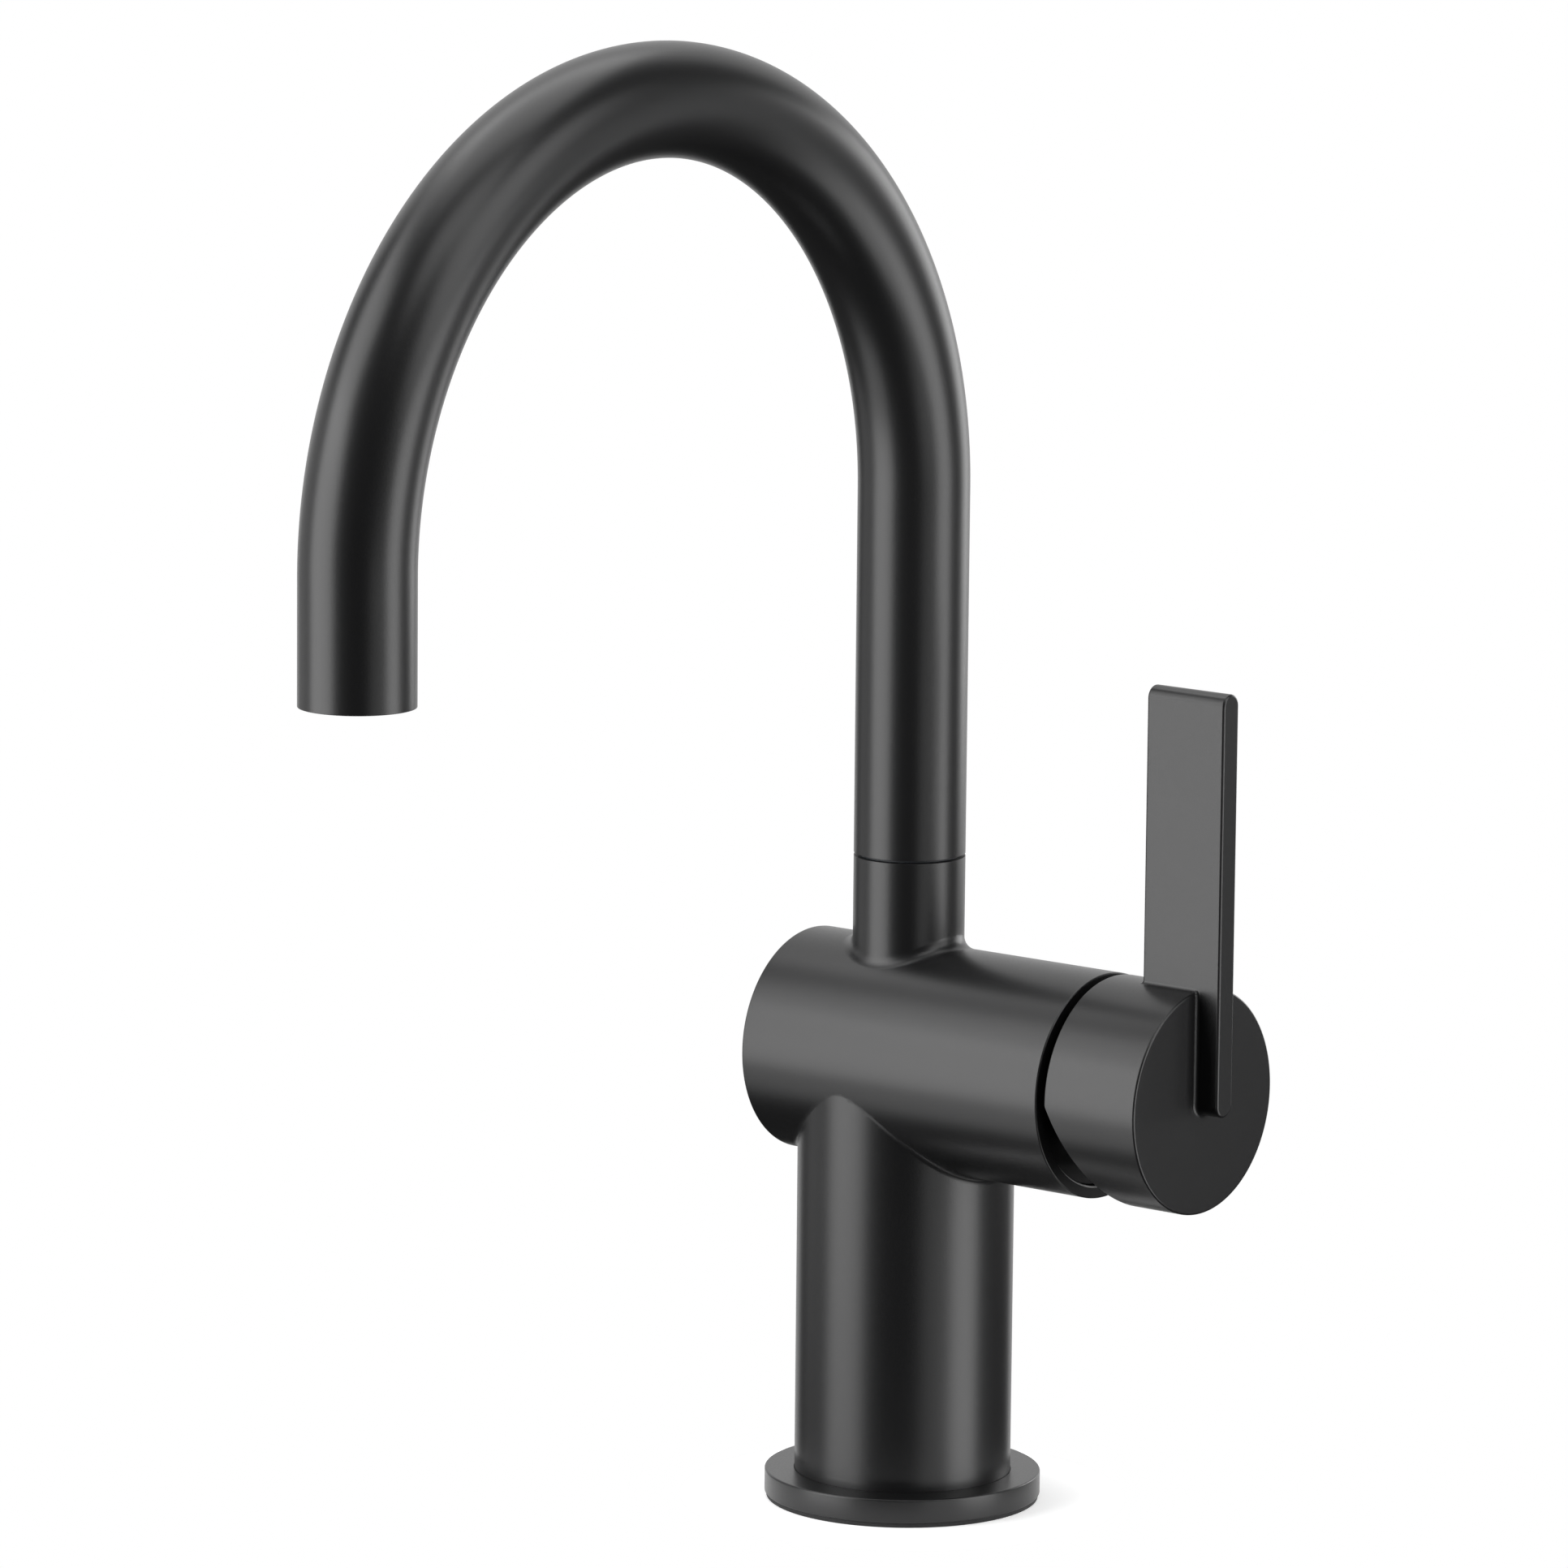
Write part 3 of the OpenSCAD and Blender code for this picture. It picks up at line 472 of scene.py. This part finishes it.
def makeBody(s):
    height, foot = valveZ / mm, bodyLow.z / mm
    columnRadius, neckRadius = s["columnDiameter"] / 2, spoutHigh.x / mm
    barrelRadius, barrelEdge = bodyHigh.y / mm, s["barrelEdge"]
    left, right, top = bodyLow.x / mm, bodyHigh.x / mm, bodyHigh.z / mm
    column = turned("coated_body", [(0, foot, 0), (columnRadius, foot, s["footEdge"]),
                                    (columnRadius, height, 0), (0, height, 0)])
    barrel = turned("barrel", [(0, left, 0), (barrelRadius, left, barrelEdge),
                               (barrelRadius, right, barrelEdge), (0, right, 0)],
                    "X", barrelCentre, around["large"])
    neckTop = top + s["jointReach"]
    neck = turned("neck", [(0, height, 0), (neckRadius, height, 0), (neckRadius, neckTop, s["neckEdge"]),
                           (0, neckTop, 0)])
    joints = [("lower", columnRadius, -1, s["columnFillet"] * mm),
              ("upper", neckRadius, 1, s["neckFillet"] * mm)]
    fillets = [filletRing(name, pipeSpine(upright * mm, barrelRadius * mm, rise, ball, s["spineSteps"]), ball)
               for name, upright, rise, ball in joints]
    combine(column, "UNION", [barrel, neck] + fillets)
    combine(column, "DIFFERENCE", turnedHollows(s, foot, left, right, top) + drilledHoles(s, top, neckRadius))
    dress(smooth(column), "black_coat", "faucet_body", "body_casting")


makeBody(body)


# hub and lever blade, cast in one; sizes in mm
handle = {
    "hubDiameter": 48.1,
    "hubFace": 79.4,
    "rim": 0.5,
    "rearEdge": 0.3,
    "wall": 3.0,
    "faceWall": 4.0,
    "floorRound": 0.8,
    "bossDiameter": 14.0,
    "bossStart": 66.2,
    "bossRoot": 0.5,
    "bossEdge": 0.3,
    "stemSquare": 8.1,
    # slanted cut under the rear of the hub: its angle, and the cutter's depth, height and half width
    "cutAngle": 25.3,
    "cutter": (50, 96, 50),
    # grub screw under the hub: radius, radius of its mouth, and where the mouth narrows outside and inside
    "screw": (2.55, 3.0, 0.2, 0.3),
    "bladeThickness": 5.3,
    "bladeWidth": 20.1,
    "bladeEdge": 0.6,
    "rootFillet": 0.9,
    # divisions of the blade: its round ends, its long flats, its edges, and across its width
    "endSteps": 24,
    "flatSteps": 36,
    "edgeSteps": 4,
    "widthSteps": 9,
    # divisions of the fillet's path at each stretch of the blade's foot
    "rootSteps": {"rear": 4, "corner": 8, "top": 11, "rim": 8, "face": 14, "end": 12},
}


def stadium(inset, s, x):
    # outline of the blade seen along the barrel, drawn in by inset: two round ends and the flats between
    half = s["bladeThickness"] / 2
    low, high = valveZ / mm, handleHigh.z / mm - half
    radius = half - inset
    ends, flats = s["endSteps"], s["flatSteps"]
    outline = []
    for k in range(ends + 1):
        angle = math.pi * k / ends
        outline.append((radius * math.cos(angle), high + radius * math.sin(angle)))
    outline += [(-radius, high + (low - high) * k / flats) for k in range(1, flats)]
    for k in range(ends + 1):
        angle = math.pi + math.pi * k / ends
        outline.append((radius * math.cos(angle), low + radius * math.sin(angle)))
    outline += [(radius, low + (high - low) * k / flats) for k in range(1, flats)]
    return [Vector((x, y, z)) * mm for y, z in outline]


def makeBlade(s):
    front = handleHigh.x / mm
    back = front - s["bladeWidth"]
    edge, steps, runs = s["bladeEdge"], s["edgeSteps"], s["widthSteps"]
    span = s["bladeWidth"] - 2 * edge
    turns = [math.pi / 2 * k / steps for k in range(steps + 1)]
    rings = [stadium(edge * (1 - math.sin(a)), s, back + edge * (1 - math.cos(a))) for a in turns]
    rings += [stadium(0, s, back + edge + span * k / runs) for k in range(1, runs)]
    rings += [stadium(edge * (1 - math.sin(a)), s, front - edge * (1 - math.cos(a))) for a in turns[::-1]]
    return lofted("blade", rings)


def rootSpine(s):
    # the ball's path around the foot of the blade: rear, top of the hub, rim, face and round end
    r, edge, rim = s["rootFillet"], s["bladeEdge"], s["rim"]
    hub, face, axis = s["hubDiameter"] / 2, s["hubFace"], valveZ / mm
    half = s["bladeThickness"] / 2
    side = half + r
    back = handleHigh.x / mm - s["bladeWidth"]
    steps = s["rootSteps"]
    inwards, backwards = Vector((0, -1, 0)), Vector((-1, 0, 0))
    right = []

    def onHub(x, y, toward):
        z = math.sqrt((hub + r) ** 2 - y * y)
        right.append((Vector((x, y, axis + z)), toward, Vector((0, -y, -z)).normalized()))

    for k in range(steps["rear"]):
        onHub(back - r, (half - edge) * k / steps["rear"], Vector((1, 0, 0)))
    for k in range(steps["corner"] + 1):
        a = math.pi / 2 * k / steps["corner"]
        out = Vector((-math.cos(a), math.sin(a), 0))
        onHub(back + edge + out.x * (edge + r), half - edge + out.y * (edge + r), -out)
    first, last = back + edge, face - rim
    for k in range(1, steps["top"]):
        onHub(first + (last - first) * k / steps["top"], side, inwards)
    for k in range(steps["rim"] + 1):
        a = math.pi / 2 * k / steps["rim"]
        reach = hub - rim + (rim + r) * math.cos(a)
        up = math.sqrt(reach * reach - side * side)
        centre = Vector((last + (rim + r) * math.sin(a), side, axis + up))
        ring = Vector((last, side * (hub - rim) / reach, axis + up * (hub - rim) / reach))
        right.append((centre, inwards, (ring - centre).normalized()))
    top = math.sqrt((hub - rim) ** 2 - side * side)
    for k in range(1, steps["face"]):
        right.append((Vector((face + r, side, axis + top * (1 - k / steps["face"]))), inwards, backwards))
    for k in range(steps["end"] + 1):
        a = math.pi / 2 * k / steps["end"]
        out = Vector((0, math.cos(a), -math.sin(a)))
        right.append((Vector((face + r, 0, axis)) + out * side, -out, backwards))
    mirrored = [tuple(Vector((v.x, -v.y, v.z)) for v in item) for item in right[1:-1]]
    return [(c * mm, a, b) for c, a, b in right + mirrored[::-1]]


def makeHandle(s):
    hub, face, rear = s["hubDiameter"] / 2, s["hubFace"], handleLow.x / mm
    inner, floor = hub - s["wall"], face - s["faceWall"]
    boss, bossStart = s["bossDiameter"] / 2, s["bossStart"]
    shell = turned("coated_handle", [(0, face, 0), (hub, face, s["rim"]), (hub, rear, s["rearEdge"]),
                                     (inner, rear, s["rearEdge"]), (inner, floor, s["floorRound"]),
                                     (boss, floor, s["bossRoot"]), (boss, bossStart, s["bossEdge"]),
                                     (0, bossStart, 0)], "X", barrelCentre, around["large"])
    # the slanted cut gives the lever room to tip
    depth, tall, across = s["cutter"]
    section = ((0, 0), (0, -tall), (-depth, -tall), (-depth, 0))
    wedge = lofted("wedge", [[Vector((x, y, z)) * mm for x, z in section] for y in (-across, across)])
    slant = Matrix.Rotation(-math.radians(s["cutAngle"]), 4, "Y")
    wedge.data.transform(Matrix.Translation((rear * mm, 0, valveZ)) @ slant)
    combine(shell, "DIFFERENCE", [wedge])
    # the blade ends inside the hub's wall
    blade = makeBlade(s)
    roomRadius, roomEnd = hub - s["wall"] / 2, face - s["faceWall"] / 2
    room = turned("room", [(0, 0, 0), (roomRadius, 0, 0), (roomRadius, roomEnd, 0), (0, roomEnd, 0)],
                  "X", barrelCentre)
    combine(blade, "DIFFERENCE", [room])
    root = filletRing("root", rootSpine(s), s["rootFillet"] * mm)
    combine(shell, "UNION", [blade, root])
    half = s["stemSquare"] / 2
    section = ((-half, -half), (half, -half), (half, half), (-half, half))
    square = lofted("square", [[Vector((x, y, z)) * mm for y, z in section]
                               for x in (bossStart - over, floor)])
    square.data.transform(Matrix.Translation(barrelCentre))
    bore, mouth, outside, inside = s["screw"]
    screw = turned("screw", [(0, -hub - over, 0), (mouth, -hub - over, 0), (mouth, -hub - outside, 0),
                             (bore, -hub + inside, 0), (bore, 0, 0), (0, 0, 0)],
                   centre=((bossStart + floor) / 2 * mm, 0, valveZ), steps=around["bore"])
    combine(shell, "DIFFERENCE", [square, screw])
    dress(smooth(shell), "black_coat", "handle", "handle_casting")


makeHandle(handle)


# straight tube bent over a half round; sizes in mm
spout = {
    "wall": 1.25,
    "bendHeight": 220.7,
    # the tube ends this far below the bush in its outlet
    "outletDrop": 0.6,
    "endEdge": 0.08,
    "edgeSegments": 3,
    "edgeAngle": 60,
    "around": 128,
    "along": 200,
}

# both ends of the tube, in metres
footZ = spoutLow.z - body["jointReach"] * mm
outletZ = bushLow.z - spout["outletDrop"] * mm


def bentTube():
    # Geometry Nodes: a line of points set along the bent path, then swept with a round
    tree = bpy.data.node_groups.new("bent_tube", "GeometryNodeTree")
    face = tree.interface
    sizes = [("Radius", 0.012), ("Reach", 0.18), ("Foot", 0.14), ("Bend Height", 0.22), ("Outlet", 0.19)]
    for name, value in sizes:
        face.new_socket(name, in_out="INPUT", socket_type="NodeSocketFloat").default_value = value
    for name, value in (("Around", 64), ("Along", 100)):
        face.new_socket(name, in_out="INPUT", socket_type="NodeSocketInt").default_value = value
    face.new_socket("Material", in_out="INPUT", socket_type="NodeSocketMaterial")
    face.new_socket("Geometry", in_out="OUTPUT", socket_type="NodeSocketGeometry")
    given = tree.nodes.new("NodeGroupInput").outputs

    def number(operation, a, b=0.0):
        return addNode(tree, "ShaderNodeMath", {"operation": operation}, _0=a, _1=b).outputs[0]

    bend = number("DIVIDE", given["Reach"], 2.0)
    rise = number("SUBTRACT", given["Bend Height"], given["Foot"])
    arc = number("MULTIPLY", bend, math.pi)
    drop = number("SUBTRACT", given["Bend Height"], given["Outlet"])
    total = number("ADD", number("ADD", rise, arc), drop)
    line = addNode(tree, "GeometryNodeCurvePrimitiveLine")
    points = addNode(tree, "GeometryNodeResampleCurve", Curve=line.outputs[0], Count=given["Along"])
    share = addNode(tree, "GeometryNodeSplineParameter").outputs["Factor"]
    # each point's way along the path: up the foot, round the bend, down to the outlet
    gone = number("MULTIPLY", share, total)
    past = number("MAXIMUM", number("SUBTRACT", gone, rise), 0.0)
    turn = number("MINIMUM", number("DIVIDE", past, bend), math.pi)
    after = number("MAXIMUM", number("SUBTRACT", past, arc), 0.0)
    y = number("MULTIPLY", bend, number("SUBTRACT", number("COSINE", turn), 1.0))
    up = number("ADD", number("MINIMUM", gone, rise), number("MULTIPLY", bend, number("SINE", turn)))
    z = number("ADD", number("SUBTRACT", up, after), given["Foot"])
    place = addNode(tree, "ShaderNodeCombineXYZ", Y=y, Z=z)
    path = addNode(tree, "GeometryNodeSetPosition", Geometry=points.outputs[0], Position=place.outputs[0])
    outline = addNode(tree, "GeometryNodeCurvePrimitiveCircle", Resolution=given["Around"],
                      Radius=given["Radius"])
    swept = addNode(tree, "GeometryNodeCurveToMesh", Curve=path.outputs[0])
    tree.links.new(outline.outputs["Curve"], swept.inputs["Profile Curve"])
    real = addNode(tree, "GeometryNodeRealizeInstances", Geometry=swept.outputs[0])
    finished = addNode(tree, "GeometryNodeSetMaterial", Geometry=real.outputs[0], Material=given["Material"])
    out = tree.nodes.new("NodeGroupOutput")
    tree.links.new(finished.outputs[0], out.inputs[0])
    return tree


def makeSpout(s):
    obj = meshObject("coated_spout", [], [])
    tube = obj.modifiers.new("tube", "NODES")
    tube.node_group = bentTube()
    radius = spoutHigh.x
    values = {
        "Radius": radius,
        "Reach": -spoutLow.y - radius,
        "Foot": footZ,
        "Bend Height": s["bendHeight"] * mm,
        "Outlet": outletZ,
        "Around": s["around"],
        "Along": s["along"],
        "Material": finishes["black_coat"],
    }
    for item in tube.node_group.interface.items_tree:
        if item.in_out == "INPUT":
            tube[item.identifier] = values[item.name]
    plainMesh(obj)
    faceOutwards(obj)
    wall = obj.modifiers.new("wall", "SOLIDIFY")
    wall.thickness = s["wall"] * mm
    wall.offset = -1  # the wall grows inwards
    edge = obj.modifiers.new("edge", "BEVEL")
    edge.width = s["endEdge"] * mm
    edge.segments = s["edgeSegments"]
    edge.limit_method = "ANGLE"
    edge.angle_limit = math.radians(s["edgeAngle"])
    plainMesh(obj)
    dress(smooth(obj), "black_coat", "spout", "spout_tube")


makeSpout(spout)


# turned trim: plate, gasket, collar, bearing and cap; sizes in mm
trim = {
    "bore": 20.0,
    "plateEdge": 0.4,
    "plateFoot": 0.3,
    # seat of the column in the plate: play, depth and edge
    "columnSeat": (0.05, 2.0, 0.12),
    "gasketEdge": 0.15,
    # a ring of corners on the flat undersides, this far in from the rim, of plate and gasket
    "flatRings": (3.0, 2.0),
    # collar: thickness of the flange, tube radius, bore, the lip that keeps it on the cartridge, and the
    # rounds of its flange, its inner corner, its end and its lip
    "collar": (1.2, 16.0, 14.4),
    "collarLip": (12.4, 1.6),
    "collarRounds": (0.3, 0.4, 0.5, 0.3),
    # bearing: bore and sleeve radius, how far its washer stays inside the dark joint line, and its edges
    "bearing": (9.06, 9.985),
    "washerInset": 0.35,
    "bearingEdges": (0.2, 0.1),
    "runGap": 0.06,
    "capEdge": 0.25,
}


def makePlate(s):
    bore, under = s["bore"], gasketHigh.z / mm
    plateRing, gasketRing = s["flatRings"]
    plateRadius, plateTop = plateHigh.x / mm, plateHigh.z / mm
    play, depth, seatEdge = s["columnSeat"]
    seat = body["columnDiameter"] / 2 + play
    plate = turned("coated_plate", [(bore, under, 0), (plateRadius - plateRing, under, 0),
                                    (plateRadius, under, s["plateFoot"]),
                                    (plateRadius, plateTop, s["plateEdge"]),
                                    (seat, plateTop, seatEdge), (seat, plateTop - depth, 0),
                                    (bore, plateTop - depth, 0)], steps=around["large"], closed=True)
    dress(smooth(plate), "black_coat", "faucet_body", "base_plate")
    rim, edge = gasketHigh.x / mm, s["gasketEdge"]
    gasket = turned("moulded_gasket", [(bore, 0, 0), (rim - gasketRing, 0, 0), (rim, 0, edge),
                                       (rim, under, edge), (bore, under, 0)],
                    steps=around["large"], closed=True)
    dress(smooth(gasket), "gasket_rubber", "faucet_body", "base_gasket")


def makeTrim(s):
    start, end, flange = collarLow.x / mm, collarHigh.x / mm, collarHigh.y / mm
    (thick, tube, bore), (lip, lipLength) = s["collar"], s["collarLip"]
    flangeRound, cornerRound, endRound, lipRound = s["collarRounds"]
    collar = turned("coated_collar", [(bore, start, 0), (flange, start, 0),
                                      (flange, start + thick, flangeRound),
                                      (tube, start + thick, cornerRound), (tube, end, endRound),
                                      (lip, end, lipRound), (lip, end - lipLength, 0),
                                      (bore, end - lipLength, 0)], "X", barrelCentre, closed=True)
    dress(smooth(collar), "black_coat", "faucet_body", "trim_collar")
    low, top, ledge = bearingLow.z / mm, footZ / mm - s["runGap"], bodyHigh.z / mm + body["jointReach"]
    inner, sleeve = s["bearing"]
    washer = bearingHigh.x / mm - s["washerInset"]
    sleeveEdge, washerEdge = s["bearingEdges"]
    bearing = turned("moulded_bearing", [(inner, low, 0), (sleeve, low, sleeveEdge), (sleeve, ledge, 0),
                                         (washer, ledge, washerEdge), (washer, top, washerEdge),
                                         (inner, top, 0)], closed=True)
    dress(smooth(bearing), "grey_nylon", "faucet_body", "neck_bearing")
    capRadius, capStart, capEnd, capEdge = capHigh.y / mm, capLow.x / mm, capHigh.x / mm, s["capEdge"]
    cap = turned("coated_cap", [(0, capStart, 0), (capRadius, capStart, capEdge),
                                (capRadius, capEnd, capEdge), (0, capEnd, 0)], "X", barrelCentre)
    dress(smooth(cap), "black_coat", "faucet_body", "chamber_cap")


makePlate(trim)
makeTrim(trim)


# the photograph's place and lens: angles in degrees, distance and target in metres
photo = {
    "azimuth": 39.2504,
    "elevation": 9.7358,
    "roll": 0.5551,
    "distance": 2.03299,
    "target": (-0.035462, 0, 0.15382),
    "focalPixels": 11568.29,
    "frame": 1932,
    "centre": (963.85, 957.26),
    "sensorWidth": 36,
}


def heading(azimuth, elevation):
    # direction in which a place lies, in degrees: azimuth 0 is in front of the faucet, at -Y
    angle, rise = math.radians(azimuth - 90), math.radians(elevation)
    return Vector((math.cos(angle) * math.cos(rise), math.sin(angle) * math.cos(rise), math.sin(rise)))


def makeCamera(s):
    azimuth, roll = math.radians(s["azimuth"]), math.radians(s["roll"])
    back = heading(s["azimuth"], s["elevation"])
    right = Vector((math.cos(azimuth), math.sin(azimuth), 0))
    up = back.cross(right)
    turnedRight = right * math.cos(roll) + up * math.sin(roll)
    turnedUp = up * math.cos(roll) - right * math.sin(roll)
    data = bpy.data.cameras.new("photo_camera")
    camera = bpy.data.objects.new("photo_camera", data)
    bpy.context.scene.collection.objects.link(camera)
    matrix = Matrix((turnedRight, turnedUp, back)).transposed().to_4x4()
    matrix.translation = Vector(s["target"]) + back * s["distance"]
    camera.matrix_world = matrix
    data.sensor_width = s["sensorWidth"]
    data.lens = s["focalPixels"] / s["frame"] * data.sensor_width
    data.shift_x = (s["frame"] / 2 - s["centre"][0]) / s["frame"]
    data.shift_y = (s["centre"][1] - s["frame"] / 2) / s["frame"]
    bpy.context.scene.camera = camera
    print("camera placed:", round(data.lens), "mm lens")


makeCamera(photo)


# softboxes around a small round table, and a white surround; lengths in metres, angles in degrees
studio = {
    "aim": (0, -0.03, 0.15),
    "tableRadius": 0.048,
    "tableAlbedo": 0.8,
    # white added where the table is seen: beside the plate, and at its rim, which melts into the backdrop
    "tableWhite": (0.45, 0.66),
    "tableFoot": 0.032,
    "fill": 0.05,
    "backdrop": 1.0,
    "backdropTilt": 18,
    "backdropHalfAngle": 44,
    # each box: azimuth from the camera (plus is right), elevation, distance, width, height, radiance
    "boxes": {
        "left_box": (-67, 2, 0.87, 0.72, 0.8, 4.2),
        "left_upper": (-74, 38, 1.0, 0.7, 0.52, 3.5),
        "left_lower": (-70, -36, 0.9, 0.6, 0.3, 1.85),
        "left_rear": (-114, 0, 0.9, 0.5, 0.7, 0.7),
        "left_top": (-115, 58, 1.0, 0.6, 0.4, 1.15),
        "right_box": (66, -6, 0.86, 0.48, 0.6, 4.4),
        "right_upper": (60, 33, 0.95, 0.7, 0.5, 2.6),
        "right_lower": (66, -36, 0.9, 0.5, 0.34, 2.8),
        "right_veil": (31, -14, 0.95, 0.4, 0.4, 1.2),
        "side_veil": (100, 0, 0.9, 0.3, 0.7, 0.15),
        "rear_box": (129, 6, 0.9, 0.42, 0.5, 3.4),
        "overhead": (-165, 78, 0.95, 0.8, 0.8, 2.1),
        "front_top": (22, 57, 1.0, 0.6, 0.36, 2.6),
    },
}


def placeBoxes(s):
    for name, (azimuth, elevation, distance, width, height, radiance) in s["boxes"].items():
        outward = heading(photo["azimuth"] + azimuth, elevation)
        lamp = bpy.data.lights.new(name, "AREA")
        lamp.shape = "RECTANGLE"
        lamp.size, lamp.size_y = width, height
        lamp.energy = radiance * math.pi * width * height
        obj = bpy.data.objects.new(name, lamp)
        obj.location = Vector(s["aim"]) + outward * distance
        obj.rotation_euler = outward.to_track_quat("Z", "Y").to_euler()
        bpy.context.scene.collection.objects.link(obj)


def mathNode(tree, operation, a, b):
    return addNode(tree, "ShaderNodeMath", {"operation": operation}, _0=a, _1=b).outputs[0]


def whiteRays(tree):
    # the rays that show white: those from the camera, and those that a shiny or a clear surface sends on
    path = addNode(tree, "ShaderNodeLightPath").outputs
    mirrored = mathNode(tree, "MAXIMUM", path["Is Glossy Ray"], path["Is Transmission Ray"])
    return path["Is Camera Ray"], mirrored


def makeSurround(s):
    world = bpy.data.worlds.new("studio")
    world.use_nodes = True
    bpy.context.scene.world = world
    tree = world.node_tree
    tree.nodes.clear()
    camera, mirrored = whiteRays(tree)
    # reflections see the white backdrop only behind the faucet, and the dark room elsewhere
    axis = heading(photo["azimuth"] + 180, s["backdropTilt"])
    direction = addNode(tree, "ShaderNodeTexCoord").outputs["Generated"]
    along = addNode(tree, "ShaderNodeVectorMath", {"operation": "DOT_PRODUCT"}, _0=direction, _1=axis)
    nearest = math.cos(math.radians(s["backdropHalfAngle"]))
    onBackdrop = mathNode(tree, "GREATER_THAN", along.outputs["Value"], nearest)
    seen = mathNode(tree, "MAXIMUM", camera, mathNode(tree, "MULTIPLY", mirrored, onBackdrop))
    dim = addNode(tree, "ShaderNodeBackground", Strength=s["fill"])
    white = addNode(tree, "ShaderNodeBackground", Color=(1, 1, 1, 1), Strength=s["backdrop"])
    mixed = addNode(tree, "ShaderNodeMixShader", _0=seen, _1=dim.outputs[0], _2=white.outputs[0])
    addNode(tree, "ShaderNodeOutputWorld", Surface=mixed.outputs[0])


def tableFinish(s):
    # matt white laminate: plain paint that keeps the shadow, lifted to the white of the surround
    material = bpy.data.materials.new("matt_white_table")
    material.use_nodes = True
    tree = material.node_tree
    tree.nodes.clear()
    seen = mathNode(tree, "MAXIMUM", *whiteRays(tree))
    albedo = s["tableAlbedo"]
    paint = addNode(tree, "ShaderNodeBsdfDiffuse", Color=(albedo, albedo, albedo, 1))
    place = addNode(tree, "ShaderNodeTexCoord").outputs["Object"]
    far = addNode(tree, "ShaderNodeVectorMath", {"operation": "LENGTH"}, _0=place).outputs["Value"]
    near, rim = s["tableWhite"]
    rise = addNode(tree, "ShaderNodeMapRange", Value=far, From_Min=s["tableFoot"], From_Max=s["tableRadius"],
                   To_Min=near, To_Max=rim).outputs[0]
    lift = addNode(tree, "ShaderNodeEmission", Color=(1, 1, 1, 1),
                   Strength=mathNode(tree, "MULTIPLY", seen, rise))
    both = addNode(tree, "ShaderNodeAddShader", _0=paint.outputs[0], _1=lift.outputs[0])
    addNode(tree, "ShaderNodeOutputMaterial", Surface=both.outputs[0])
    return material


def makeStudio(s):
    placeBoxes(s)
    makeSurround(s)
    table = turned("table", [(0, 0, 0), (s["tableRadius"] / mm, 0, 0)])
    table.data.materials.append(tableFinish(s))
    print("studio lit by", len(s["boxes"]), "softboxes")


makeStudio(studio)

bpy.context.scene.view_settings.view_transform = "Standard"
